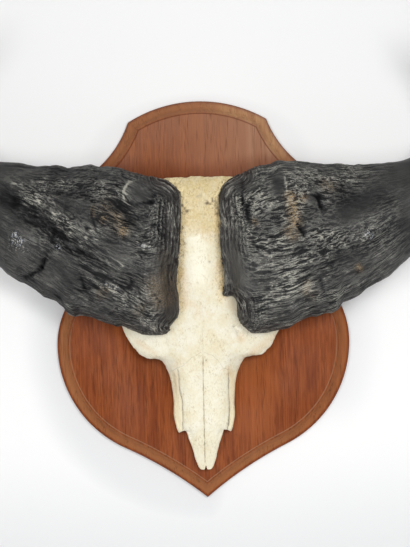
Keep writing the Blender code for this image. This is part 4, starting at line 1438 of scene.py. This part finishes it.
@dataclass
class Skull:
    """The bleached skull: a crowned sheet of bone by rows from nose to crest, sawn flat behind."""

    fine_pitch: float = 1.25
    pitch: float = 2.05
    fine_below_z: float = -188.0
    half_columns: int = 80
    thickness: float = 8.0
    base_thickness: float = 26.0
    base_from_z: float = -36.0
    rim_radius: float = 2.6
    nose_free_below_z: float = -214.0
    nose_cavity_to_z: tuple[float, float] = (-118.0, -96.0)
    nose_wall_from: tuple[float, float] = (0.66, 0.82)
    orbit_z: tuple[float, float] = (-99.0, -3.0)
    orbit_wall_x: float = 58.0

    def rows(self) -> Array:
        """The table's rows carried through as smooth curves, closer together at the nose."""
        table = np.array(SKULL_ROWS, dtype=float)
        z = table[:, 0]
        low = np.arange(z[0], self.fine_below_z, self.fine_pitch)
        high = np.linspace(self.fine_below_z, z[-1], int((z[-1] - self.fine_below_z) / self.pitch))
        return hermite(table, z, np.concatenate([low, high]))

    def front_at(self, x: Array, z: Array) -> Array:
        """Depth of the bone's front at a place, found by stepping along the bent rows.

        Args:
            x: Sideways.
            z: Up the wall.

        Returns:
            The depth, or 0 past the bone's edge.
        """
        mid_z, edge_x, edge_z, mid, edge, crown, _ = self.rows().T
        bend = np.interp(mid_z, *np.array(SKULL_ROWS).T[[0, 6]])
        row_z = np.array(z, dtype=float)
        for _ in range(12):
            reach = np.clip(np.abs(x - SKULL_X) / np.interp(row_z, mid_z, edge_x), 0, 1)
            drop = np.interp(row_z, mid_z, edge_z - mid_z) * reach ** np.interp(row_z, mid_z, bend)
            row_z = 0.5 * row_z + 0.5 * (z - drop)
        reach = np.abs(x - SKULL_X) / np.interp(row_z, mid_z, edge_x)
        low, high = np.interp(row_z, mid_z, edge), np.interp(row_z, mid_z, mid)
        depth = low + (high - low) * (1 - np.clip(reach, 0, 1) ** np.interp(row_z, mid_z, crown))
        outside = (reach > 1) | (row_z > mid_z[-1]) | (row_z < mid_z[0])
        return np.where(outside, 0.0, depth)

    def detail(self, x: Array, z: Array, depth: Array) -> dict[str, Array]:
        """What shows on the front: height over the plain form, seams, and where each mark lies.

        Args:
            x: Sideways.
            z: Up the wall.
            depth: Depth of the plain front.

        Returns:
            Arrays by name.
        """
        spot = np.stack([x, z, depth], axis=-1)
        specks = fractal(spot / 3.4, 21, 2)
        wander = np.stack([lattice_noise(spot / 7, 3), lattice_noise(spot / 7, 4)])
        wx, wz = x + 0.8 * wander[0], z + 0.8 * wander[1]
        midline = signed_distance(x + 0.25 * wander[0], z, MIDLINE_SEAM)
        nasal = signed_distance(wx, wz, NASAL_SEAM)
        left, right = signed_distance(wx, wz, LEFT_FLANK_SEAM), signed_distance(wx, wz, RIGHT_FLANK_SEAM)
        flank_seam = np.where(np.abs(left) < np.abs(right), left, right)
        beside = (x < np.interp(z, *np.array(LEFT_FLANK_SEAM)[::-1].T[::-1])) \
            | (x > np.interp(z, *np.array(RIGHT_FLANK_SEAM)[::-1].T[::-1]))
        along_flank = ramp(z, -216, -208) * (1 - ramp(z, -125, -108))
        flank = along_flank * beside * ramp(np.abs(flank_seam), 0, 2.0)

        to_horn = np.minimum(np.abs(signed_distance(x, z, LEFT_HORN_EDGE)),
                             np.abs(signed_distance(x, z, RIGHT_HORN_EDGE)))
        crust_reach = 9.0 + 3.5 * lattice_noise(spot / 16, 5)
        crust_and_painted_light = np.exp(-((np.maximum(to_horn - 1.5, 0) / crust_reach) ** 2)) * ramp(z, -34, 8)
        crumbs = fractal(spot / 6.5, 11, 3)
        rise = (1.2 * fractal(spot / 34, 7, 3) + 0.35 * fractal(spot / 9, 9, 3)
                + crust_and_painted_light * (0.9 + 1.5 * crumbs) + 0.8 * ramp(z, 120, 165) * crumbs)
        rise += 0.9 * np.clip(specks, -0.5, 0.2) * (crust_and_painted_light + 0.3 * ramp(z, 95, 160) + 0.08)
        rise += soft_spots(x, z, BONE_FORMS) - 2.2 * flank
        rise -= 1.0 * np.exp(-((midline / 1.3) ** 2)) + 0.55 * np.exp(-((nasal / 1.2) ** 2))
        rise -= 1.3 * np.exp(-((flank_seam / 1.4) ** 2)) * along_flank
        strength = np.where(np.abs(midline) < 3, 0.3 + 0.65 * ramp(-z, 84, 98), 0.9)
        strength = strength * np.where(np.abs(nasal) < 2, 0.42, 1.0) * (0.55 + 0.45 * ramp(crumbs, -0.3, 0.2))
        marks = 1.1 * np.clip(soft_spots(wx, wz, BONE_DARK_MARKS), 0, 1) * ramp(specks, -0.55, 0.25)
        marks += 0.75 * (crust_and_painted_light + 0.22 * ramp(z, 70, 150)) * ramp(specks, 0.3, 0.7) * ramp(z, -10, 60)
        marks += 0.22 * flank * ramp(fractal(spot / (9, 26, 9), 31, 2), 0.0, 0.6) * (x < 0)
        return {
            "rise": rise, "midline_seam": midline, "nasal_seam": nasal, "flank_seam": flank_seam,
            "seam_strength": strength, "flank": flank, "crust_and_painted_light": crust_and_painted_light,
            "marks": marks, "rust": np.clip(soft_spots(x, z, BONE_RUST_MARKS), 0, 1),
            "bleach": np.clip(soft_spots(x, z, BONE_WHITE_MARKS), 0, 1),
        }

    def build(self, finish: bpy.types.Material) -> bpy.types.Object:
        """Make the skull between its front and its back.

        The front is edge + (mid - edge) x (1 - reach ^ crown), less a quarter round at the rim.
        The back follows it at the bone's thickness, or stands on the board.

        Args:
            finish: Its material.

        Returns:
            The piece.
        """
        even = np.linspace(0, 1, self.half_columns + 1)
        half = 1 - (1 - even) ** 1.3
        s = np.concatenate([-half[:0:-1], half])[None, :]
        reach = np.abs(s)
        mid_z, edge_x, edge_z, mid, edge, crown, _ = self.rows().T[:, :, None]
        bend = np.interp(mid_z, *np.array(SKULL_ROWS).T[[0, 6]])
        x = edge_x * s + SKULL_X
        z = mid_z + (edge_z - mid_z) * reach**bend
        x, z = self.worn_outline(x, z, reach, mid_z)
        front = edge + (mid - edge) * (1 - reach**crown)
        from_rim = np.clip(self.rim_radius - (1 - reach) * edge_x, 0, self.rim_radius)
        rounding = self.rim_radius - np.sqrt(self.rim_radius**2 - from_rim**2)
        detail = self.detail(x, z, front)
        inside = ramp((1 - reach) * edge_x, 0.0, 6.0)
        shown = front + detail.pop("rise") * inside - rounding

        cavity = ramp(mid_z, *self.nose_cavity_to_z)
        walls = ramp(reach, *self.nose_wall_from) * ramp(mid_z, self.nose_free_below_z - 3,
                                                        self.nose_free_below_z + 3)
        low, high = self.orbit_z
        in_orbit = (ramp(mid_z, low - 2, low + 2) * (1 - ramp(mid_z, high - 2, high + 2))
                    * ramp(np.abs(x - SKULL_X), self.orbit_wall_x - 3, self.orbit_wall_x + 3))
        stands = np.maximum(cavity, walls) * (1 - in_orbit)
        thickness = self.thickness + (self.base_thickness - self.thickness) * ramp(
            mid_z, self.base_from_z - 6, self.base_from_z + 6)
        base = BOARD_THICKNESS + GAP
        shell = np.maximum(front - thickness + 0.6 * rounding, base)
        back = shell + (base - shell) * stands

        rows, columns = x.shape
        count = rows * columns
        points = np.concatenate([place(x, z, shown), place(x, z, back)])
        index = np.arange(count).reshape(rows, columns)
        edge_loop = np.concatenate([index[0, :-1], index[:-1, -1], index[-1, :0:-1], index[:0:-1, 0]])
        after = np.roll(edge_loop, -1)
        wall = np.stack([after, edge_loop, edge_loop + count, after + count], axis=1)
        quads = grid_quads(rows, columns)
        piece = surface("skull_bone", points, np.concatenate([quads, quads[:, ::-1] + count, wall]))
        paint(piece, **{name: np.concatenate([value.ravel(), value.ravel() * keep])
                        for (name, value), keep in zip(detail.items(), self.back_shares(detail))})
        cut_away(piece, [screw_hole("skull_hole", x, z, SKULL_SCREW) for x, z in SKULL_SCREW_PLACES])
        piece.data.materials.clear()
        piece.data.materials.append(finish)
        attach(piece, "root")
        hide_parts("skull")
        return piece

    @staticmethod
    def worn_outline(x: Array, z: Array, reach: Array, mid_z: Array) -> tuple[Array, Array]:
        """Wear the edge unevenly, and round the two prongs of the nose about their notch.

        Noise moves the outer edge by about a millimetre. At the nose's end the outline falls from
        the notch by 6.5 x (1 - exp(-(x / 1.4)^2)), and rises again at its outer corner.

        Args:
            x: Sideways.
            z: Up the wall.
            reach: Share of the way from the midline to the edge.
            mid_z: The row's height on the midline.

        Returns:
            The moved x and z.
        """
        place_on = np.stack([x, z, np.zeros(x.shape)], axis=-1)
        outer = ramp(reach, 0.86, 1.0) * (0.25 * ramp(mid_z, -262, -235) + 1.0 * ramp(mid_z, -124, -96))
        crest = ramp(mid_z, 176, 198)
        x = x + 1.5 * fractal(place_on / 11, 41, 3) * outer
        z = z + 1.3 * fractal(place_on / 10, 43, 3) * np.maximum(outer * (mid_z < 150), crest)
        tip = 1 - ramp(mid_z, -270, -262)
        notch = 6.5 * np.exp(-(((x - SKULL_X) / 1.4) ** 2)) + 2.4 * ramp(reach, 0.75, 1.0) ** 2
        return x, z + tip * (-278.0 + notch - z)

    @staticmethod
    def back_shares(detail: dict[str, Array]) -> list[float]:
        """How much of each mark goes through to the back: none, but for distances, which are sent far off."""
        return [50.0 if name.endswith("_seam") else 0.0 for name in detail]


@dataclass
class Horn:
    """One horn: rings between an upper and a lower outline, with its forms and its worn fibres."""

    side: Side
    stations: tuple[Row, ...]
    upper_trim: tuple[Row, ...]
    lower_trim: tuple[Row, ...]
    forms: tuple[Row, ...]
    knobs: tuple[Row, ...]
    smooth: tuple[Row, ...]
    pale: tuple[Row, ...]
    tan: tuple[Row, ...]
    wet: tuple[Row, ...]
    tones: tuple[Row, ...]
    slanted: tuple[Row, ...]
    hollows: tuple[Row, ...]
    slant: float
    tone: float
    contrast: float
    seed: int
    fine_reach: float = 130.0
    fine_pitch: float = 1.25
    fibre_cell: Triple = (19.0, 3.1, 6.5)
    rib_cell: Triple = (3.6, 24.0, 24.0)
    slanted_cell: Triple = (24.0, 3.6, 9.0)
    rib_spacing: float = 5.4
    rib_reach: tuple[float, float] = (13.0, 32.0)
    furrow_reach: tuple[float, float] = (28.0, 60.0)
    inner_stations: int = 9
    hollow_reach: tuple[float, float] = (38.0, 62.0)
    pitch: float = 2.1
    outer_pitch: float = 4.6
    outer_from: float = 345.0
    front_points: int = 290
    back_points: int = 42
    chord: float = 210.0

    def columns(self) -> tuple[Array, Array]:
        """The stations carried through as smooth curves.

        Returns:
            The distance of each ring from the inner edge, and its row of the table.
        """
        table = np.array(self.stations, dtype=float)
        middle = (table[:, 0:2] + table[:, 2:4]) / 2
        ends = np.hypot(*np.diff(table[:, 0:2], axis=0).T) + np.hypot(*np.diff(table[:, 2:4], axis=0).T)
        step = np.maximum(np.hypot(*np.diff(middle, axis=0).T), 0.5 * ends)
        along = np.concatenate([[0], np.cumsum(step)])
        fine = np.arange(0, self.fine_reach, self.fine_pitch)
        inner = np.arange(self.fine_reach, self.outer_from, self.pitch)
        count = int((along[-1] - self.outer_from) / self.outer_pitch)
        outer = np.linspace(self.outer_from, along[-1], count)
        wanted = np.concatenate([fine, inner, outer])
        return wanted, hermite(table, along, wanted)

    def build(self, bone: Skull, finish: bpy.types.Material) -> bpy.types.Object:
        """Make the horn.

        A ring's section is |across|^n + |bulge|^n = 1 over its chord. Its depth is that of the
        chord plus bulge times what stands forward or back of it. Bell curves over z hollow the
        edge beside the bone. Relief is added along the normal.

        Args:
            bone: The skull, on which its underside rests.
            finish: Its material.

        Returns:
            The piece.
        """
        along, table = self.columns()
        top_x, top_z, low_x, low_z, front, back, top_edge, low_edge, square = table.T[:, :, None]
        even_front = np.linspace(1, -1, self.front_points)[None, :]
        even_back = np.linspace(-1, 1, self.back_points + 2)[None, 1:-1]
        even = np.concatenate([even_front, even_back], axis=1)
        across = 0.45 * even + 0.55 * np.sin(even * math.pi / 2)
        facing = np.concatenate([np.ones_like(even_front), np.zeros_like(even_back)], axis=1)
        bulge = np.clip(1 - np.abs(across) ** square, 0, 1) ** (1 / square)
        share = (1 + across) / 2
        x = low_x + (top_x - low_x) * share
        z = low_z + (top_z - low_z) * share
        z += np.interp(top_x, *np.array(self.upper_trim).T) * ramp(share, 0.7, 1.0)
        z += np.interp(low_x, *np.array(self.lower_trim).T) * (1 - ramp(share, 0.0, 0.3))
        for hollow_z, half_height, amount in self.hollows:
            near = np.exp(-(((z - hollow_z) / half_height) ** 2))
            x = x + amount * near * (1 - ramp(x, *self.hollow_reach))
        middle = low_edge + (top_edge - low_edge) * share
        centre = (top_edge + low_edge) / 2
        depth = np.where(facing > 0, middle + (front - centre) * bulge, middle - (centre - back) * bulge)

        grid = [np.broadcast_to(value, x.shape) for value in (x, z, depth, share, along[:, None], facing)]
        fields, fibre = self.fields(*grid)
        forms = soft_spots(x, z, self.forms) + self.knob_heights(x, z)
        depth = depth + forms * bulge * facing
        x, z, depth = self.displace(x, z, depth, fields.pop("relief"))
        floor = bone.front_at(self.side.value * x, z) + 0.5
        depth = np.where(floor > 1, np.maximum(depth, floor), depth)

        name = self.side.name.lower()
        low, high = (np.array(corner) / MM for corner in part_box(f"horn_{name}"))
        points = place(np.clip(self.side.value * x, low[0], high[0]), np.clip(z, low[2], high[2]),
                       np.clip(depth, -high[1], -low[1]))
        piece = tube(f"{name}_horn", points, len(x), 75)
        paint(piece, fibre=fibre.reshape(-1, 3), **fields)
        piece.data.materials.append(finish)
        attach(piece, "root")
        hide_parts(f"horn_{name}")
        return piece

    def fields(self, x: Array, z: Array, depth: Array, share: Array, along: Array,
               facing: Array) -> tuple[dict[str, Array], Array]:
        """Relief, tone and the other fields that the finish reads, with the fibre coordinates.

        Three grains are laid over one another: fibres along the horn, ribs beside the inner edge,
        and slanted fibres where the horn has twisted. Each has strands, thin crests and clefts.

        Args:
            x: Outward.
            z: Up the wall.
            depth: Forward.
            share: Share of the chord, from lower to upper edge.
            along: Distance from the inner edge.
            facing: Whether the point is on the front.

        Returns:
            Fields by name, and the fibre coordinates in metres.
        """
        flat = np.stack([x, z, depth], axis=-1)
        fibre = np.stack([along, share * self.chord, depth], axis=-1)
        rims = np.zeros(x.shape)
        for knob_x, knob_z, radius, _, rim in self.knobs:
            off = np.hypot(x - knob_x, z - knob_z)
            fibre[..., 1] -= 0.7 * (z - knob_z) * np.exp(-((off / (1.7 * radius)) ** 2))
            outward = ramp((0.85 * (x - knob_x) + 0.5 * (z - knob_z)) / off, 0.1, 0.6)
            # Painted highlight: the knob's outer rim is paled on its outward and upper side
            rims += rim * facing * outward * np.exp(-(((off - radius) / 1.8) ** 2))
        turn = math.radians(self.slant)
        slanted = np.stack([x * math.cos(turn) + z * math.sin(turn),
                            z * math.cos(turn) - x * math.sin(turn), depth], axis=-1)
        wave = np.stack([3.5 * fractal(flat / 21, self.seed + 1, 2),
                         3.2 * fractal(flat / 33, self.seed + 3, 3), np.zeros(x.shape)], axis=-1)

        rough = 1 - 0.85 * np.clip(soft_spots(x, z, self.smooth) * facing, 0, 1)
        rough = rough * (1 - 0.95 * ramp(along, 320, 450))
        inner = self.stations[:self.inner_stations]
        edge_path = tuple(row[0:2] for row in inner[::-1]) + tuple(row[2:4] for row in inner)
        from_edge = np.abs(signed_distance(x, z, edge_path)) * facing + 99 * (1 - facing)
        beside = np.stack([from_edge, z, depth], axis=-1)
        ribbed = 1 - ramp(from_edge, *self.rib_reach)
        twisted = np.clip(soft_spots(x, z, self.slanted), 0, 1) * facing
        lines = self.grain(fibre + wave, self.fibre_cell, self.seed + 10)
        ribs = self.grain(beside + 0.6 * wave, self.rib_cell, self.seed + 30)
        turned = self.grain(slanted + wave, self.slanted_cell, self.seed + 50)
        straight = (1 - ribbed) * (1 - twisted)
        weights = (straight + 0.6 * ribbed, 0.65 * ribbed, (1 - ribbed) * twisted)
        strand, crest, cleft = (sum(weight * part for weight, part in zip(weights, parts))
                                for parts in zip(lines, ribs, turned))

        clouds = fractal(flat / 27, self.seed + 70, 3)
        lumps = fractal(flat / 19, self.seed + 80, 2)
        patches = ramp(fractal(flat / 15, self.seed + 90, 2), -0.35, 0.4)
        pale = np.clip(soft_spots(x, z, self.pale), 0, 1.2) * facing
        forms = np.clip(soft_spots(x, z, self.forms), -8, 8)
        furrows = np.sin(2 * math.pi * (from_edge + 0.5 * wave[..., 1]) / self.rib_spacing)
        broken = ramp(lattice_noise(beside / (8, 6, 9), self.seed + 38), -0.4, 0.3)
        furrows *= (1 - ramp(from_edge, *self.furrow_reach)) * (0.25 + 0.75 * broken)
        relief = rough * (1.0 * strand + 0.8 * crest - 1.5 * cleft + 0.9 * furrows)
        relief += 1.7 * lumps * (1 - ramp(along, 380, 480))
        sharp = soft_spots(x + 0.7 * wave[..., 1], z + 0.7 * wave[..., 0], self.tones) * facing
        sharp = np.where(sharp < 0, 0.95 * (0.35 + 0.65 * ramp(strand - crest, -0.7, 0.3)), 1.0) * sharp
        relief += 5.0 * np.clip(sharp, -0.4, 0.1)
        tone = self.tone + 0.05 * clouds + 0.03 * lumps + 0.012 * forms + sharp
        # Painted highlight on the outer rim of the knobs
        tone += rims * ramp(clouds, -0.5, 0.1)
        tone += self.contrast * rough * (0.12 * strand - 0.24 * cleft + 0.11 * furrows)
        tone += self.contrast * rough * crest * patches * (0.22 + 0.34 * pale) + 0.04 * pale
        fields = {
            "relief": relief,
            "tone": tone,
            "rough": rough,
            "grainy": rough * (0.55 + 0.45 * ramp(fractal(flat / 30, self.seed + 95, 2), -0.4, 0.35)),
            "ribbed": ribbed,
            "twisted": (1 - ribbed) * twisted,
            "tan": np.clip(soft_spots(x, z, self.tan), 0, 1.2) * facing,
            "wet": np.clip(soft_spots(x, z, self.wet), 0, 1) * facing,
            "tipward": ramp(along, 360, 560),
            "slanted_fibre": (slanted + wave).reshape(-1, 3) * MM,
            "rib_fibre": (beside + 0.6 * wave).reshape(-1, 3) * MM,
        }
        return fields, (fibre + wave) * MM

    @staticmethod
    def grain(points: Array, cell: Triple, seed: int) -> tuple[Array, Array, Array]:
        """Strands, thin crests and clefts of one grain.

        Strands are stretched noise. Crests and clefts are 1 - 4.2|noise| and 1 - 9|noise| held
        above 0, which are thin where the noise crosses zero. Another noise breaks the crests up.

        Args:
            points: Places in millimetres.
            cell: Size of the noise's cells.
            seed: Which noise.

        Returns:
            The three heights, from -1 or 0 to 1.
        """
        size = np.array(cell)
        strand = fractal(points / (1.7 * size), seed, 3)
        crest = np.clip(1 - 4.2 * np.abs(lattice_noise(points / size, seed + 4)), 0, 1)
        dashes = size * np.where(size == size.max(), 0.4, 1.5)
        crest *= 0.25 + 0.75 * ramp(lattice_noise(points / dashes, seed + 12), -0.35, 0.25)
        split = np.clip(1 - 9.0 * np.abs(lattice_noise(points / (1.9 * size), seed + 6)), 0, 1)
        cleft = split * ramp(lattice_noise(points / (3 * size), seed + 8), -0.3, 0.3)
        return strand, crest, cleft

    def knob_heights(self, x: Array, z: Array) -> Array:
        """Domes with a groove round them: height x (1 - (r / R)^4), less a bell curve about r = R.

        Args:
            x: Outward.
            z: Up the wall.

        Returns:
            The height at each place.
        """
        total = np.zeros(x.shape)
        for knob_x, knob_z, radius, height, _ in self.knobs:
            off = np.hypot(x - knob_x, z - knob_z)
            total += height * np.clip(1 - (off / radius) ** 4, 0, 1)
            total -= 0.8 * height * np.exp(-(((off - 1.08 * radius) / (0.16 * radius)) ** 2))
        return total

    @staticmethod
    def displace(x: Array, z: Array, depth: Array, height: Array) -> tuple[Array, Array, Array]:
        """Move the grid along its own normals, found from the differences to its neighbours.

        Args:
            x: Outward.
            z: Up the wall.
            depth: Forward.
            height: How far.

        Returns:
            The moved x, z and depth.
        """
        spot = np.stack([x, z, depth], axis=-1)
        down = np.gradient(spot, axis=0)
        round_it = (np.roll(spot, -1, axis=1) - np.roll(spot, 1, axis=1)) / 2
        normal = np.cross(down, round_it)
        normal /= np.maximum(np.linalg.norm(normal, axis=-1, keepdims=True), 1e-9)
        outward = np.sign(np.sum(normal[..., 2] * (depth - depth.mean(axis=1, keepdims=True))))
        ends = ramp(np.arange(len(x)), 0, 6) * (1 - ramp(np.arange(len(x)), len(x) - 8, len(x) - 1))
        moved = spot + outward * normal * (height - 0.3)[..., None] * ends[:, None, None]
        return moved[..., 0], moved[..., 1], moved[..., 2]


@dataclass
class Studio:
    """A pale wall and floor, three soft lights in front, and a camera facing the wall."""

    camera_place: Triple = (0.006, -2.4, 0.0426)
    camera_roll: float = math.radians(1.65)
    lens: float = 94.70
    lights: tuple[tuple[str, Triple, float, float], ...] = (
        ("key_left", (-0.72, -2.4, 0.22), 0.62, 12.4), ("key_right", (0.51, -2.4, 0.43), 0.62, 21.9),
        ("front", (0.02, -2.6, -0.20), 0.9, 12.4))
    lit_point: Triple = (0, 0, 0.05)
    wall_reach: float = 14.0
    wall_gap: float = 0.0002
    floor_z: float = -1.4
    sky: float = 0.30
    paper: Row = linear(254, 254, 253)
    paper_dull: Row = linear(251, 251, 251)
    # Colour of the painted shade and shadows on the wall
    paper_painted_shade: Row = linear(230, 231, 232)
    # Ovals about the board where a shadow is painted on the wall: middle height, half-width and half-height
    painted_shadow_ovals: tuple[Triple, ...] = ((-0.06, 0.24, 0.27), (0.235, 0.165, 0.10))

    def build(self) -> None:
        """Make the camera, the lights, the world, the wall and the floor."""
        self.add_camera()
        for light in self.lights:
            self.add_light(*light)
        world = bpy.data.worlds.new("studio")
        world.use_nodes = True
        backdrop = world.node_tree.nodes["Background"]
        backdrop.inputs["Color"].default_value = (1.0, 1.0, 1.0, 1.0)
        backdrop.inputs["Strength"].default_value = self.sky
        bpy.context.scene.world = world
        bpy.context.scene.view_settings.view_transform = "Standard"
        reach = self.wall_reach
        low, high = self.floor_z, self.floor_z + reach
        wall = [(-reach, 0, low), (reach, 0, low), (reach, 0, high), (-reach, 0, high)]
        floor = [(-reach, -reach, low), (reach, -reach, low), (reach, reach, low), (-reach, reach, low)]
        for name, corners, one_sided in (("wall", wall, True), ("floor", floor, False)):
            mesh = bpy.data.meshes.new(name)
            mesh.from_pydata([Vector(c) + Vector((0, self.wall_gap, 0)) for c in corners], [], [(0, 1, 2, 3)])
            piece = bpy.data.objects.new(name, mesh)
            bpy.context.scene.collection.objects.link(piece)
            mesh.materials.append(self.paper_finish(name, one_sided))

    def paper_finish(self, name: str, one_sided: bool) -> bpy.types.Material:
        """Matt pale paint with a faint unevenness, which can be seen through from behind.

        It has painted shade low and high, where the lamps' light falls off, and a painted shadow about the
        board.

        Args:
            name: The material's name.
            one_sided: Whether its back, and light on its way to the back, pass through.

        Returns:
            The material.
        """
        made = bpy.data.materials.new(f"{name} paint")
        made.use_nodes = True
        graph = Graph(made.node_tree)
        shader, output = made.node_tree.nodes["Principled BSDF"], made.node_tree.nodes["Material Output"]
        where = graph.node("TexCoord").outputs["Object"]
        shade = graph.mix(graph.noise(where, 1.2, 2), self.paper, self.paper_dull)
        side, _, up = graph.axes(where)
        # Painted shade low and high on the wall, where the lamps' light falls off
        low = graph.span(up, -0.46, -0.20, 0.78, 0.0)
        high = graph.span(up, 0.20, 0.46, 0.0, 0.24)
        # Painted shadow about the board, strongest on its left, and about its top
        rounds = []
        for centre, half_width, half_height in self.painted_shadow_ovals:
            wide = graph.math("DIVIDE", side, half_width)
            tall = graph.math("DIVIDE", graph.less(up, centre), half_height)
            rounds.append(graph.plus(graph.times(wide, wide), graph.times(tall, tall)))
        where_grey = graph.highest(graph.span(side, 0.0, 0.06, 1.0, 0.0),
                                   graph.span(up, -0.25, -0.15, 0.0, 0.6))
        beside = graph.times(graph.span(rounds[0], 1.08, 1.70, 0.8, 0.0), where_grey)
        beside = graph.highest(beside, graph.span(rounds[1], 0.95, 1.5, 0.3, 0.0))
        shade = graph.mix(graph.highest(low, high, beside), shade, self.paper_painted_shade)
        graph.feed(shader.inputs["Base Color"], shade)
        shader.inputs["Roughness"].default_value = 0.9
        shader.inputs["Specular IOR Level"].default_value = 0.1
        if one_sided:
            behind = graph.node("NewGeometry").outputs["Backfacing"]
            shadow = graph.node("LightPath").outputs["Is Shadow Ray"]
            blend = graph.node("MixShader")
            graph.feed(blend.inputs[0], graph.highest(behind, shadow))
            graph.feed(blend.inputs[1], shader.outputs[0])
            graph.feed(blend.inputs[2], graph.node("BsdfTransparent").outputs[0])
            graph.feed(output.inputs["Surface"], blend.outputs[0])
        return made

    def add_camera(self) -> None:
        """Make the camera level with the photograph's, with its slight roll."""
        data = bpy.data.cameras.new("camera")
        data.lens = self.lens
        data.sensor_width = 36.0
        data.clip_end = 100.0
        camera = bpy.data.objects.new("camera", data)
        c, s = math.cos(self.camera_roll), math.sin(self.camera_roll)
        right, up, back = Vector((c, 0, -s)), Vector((s, 0, c)), Vector((0, -1, 0))
        turn = Matrix((right, up, back)).transposed().to_4x4()
        camera.matrix_world = Matrix.Translation(self.camera_place) @ turn
        bpy.context.scene.collection.objects.link(camera)
        bpy.context.scene.camera = camera

    def add_light(self, name: str, spot: Triple, size: float, power: float) -> None:
        """Add a square soft light that faces the middle of the mount.

        Args:
            name: Its name.
            spot: Where it stands.
            size: Its side.
            power: Its power in watts.
        """
        data = bpy.data.lights.new(name, "AREA")
        data.shape = "SQUARE"
        data.size = size
        data.energy = power
        light = bpy.data.objects.new(name, data)
        light.location = spot
        light.rotation_euler = (Vector(self.lit_point) - Vector(spot)).to_track_quat("-Z", "Y").to_euler()
        bpy.context.scene.collection.objects.link(light)


class Mount:
    """The whole object: board, skull, horns and hanging hardware, each with its finish."""

    def __init__(self) -> None:
        """Make the shared effects and the finishes."""
        effects = Effects()
        self.wood = StainedWood().make(effects)
        self.bone = BleachedBone().make(effects)
        self.horn = DarkHorn().make(effects)
        self.steel = ZincSteel().make(effects)

    def build(self) -> list[bpy.types.Object]:
        """Build every piece in order.

        Returns:
            The new pieces.
        """
        skull = Skull()
        pieces = [Board().build(self.wood), skull.build(self.bone)]
        right = Horn(Side.RIGHT, RIGHT_STATIONS, RIGHT_UPPER_TRIM, RIGHT_LOWER_TRIM, RIGHT_FORMS, RIGHT_KNOBS,
                     RIGHT_SMOOTH, RIGHT_PALE, RIGHT_TAN, RIGHT_WET, RIGHT_TONES,
                     slanted=(), hollows=RIGHT_HOLLOWS, slant=0, tone=0.40, contrast=0.93, seed=100)
        left = Horn(Side.LEFT, LEFT_STATIONS, LEFT_UPPER_TRIM, LEFT_LOWER_TRIM, LEFT_FORMS, LEFT_KNOBS,
                    LEFT_SMOOTH, LEFT_PALE, LEFT_TAN, LEFT_WET, LEFT_TONES,
                    slanted=LEFT_SLANTED, hollows=LEFT_HOLLOWS, slant=30, tone=0.355, contrast=1.24, seed=300)
        pieces += [right.build(skull, self.horn), left.build(skull, self.horn)]
        for name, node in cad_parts.items():
            if "screw" in name or "plate" in name:
                node.data.materials.clear()
                node.data.materials.append(self.steel)
        return pieces


def main() -> None:
    """Build the studio and the mount, and log each piece's vertices and faces."""
    logging.basicConfig(level=logging.INFO, format="%(name)s: %(message)s")
    Studio().build()
    for piece in Mount().build():
        log.info("%s: %d vertices, %d faces", piece.name, len(piece.data.vertices), len(piece.data.polygons))


if __name__ == "__main__":
    main()
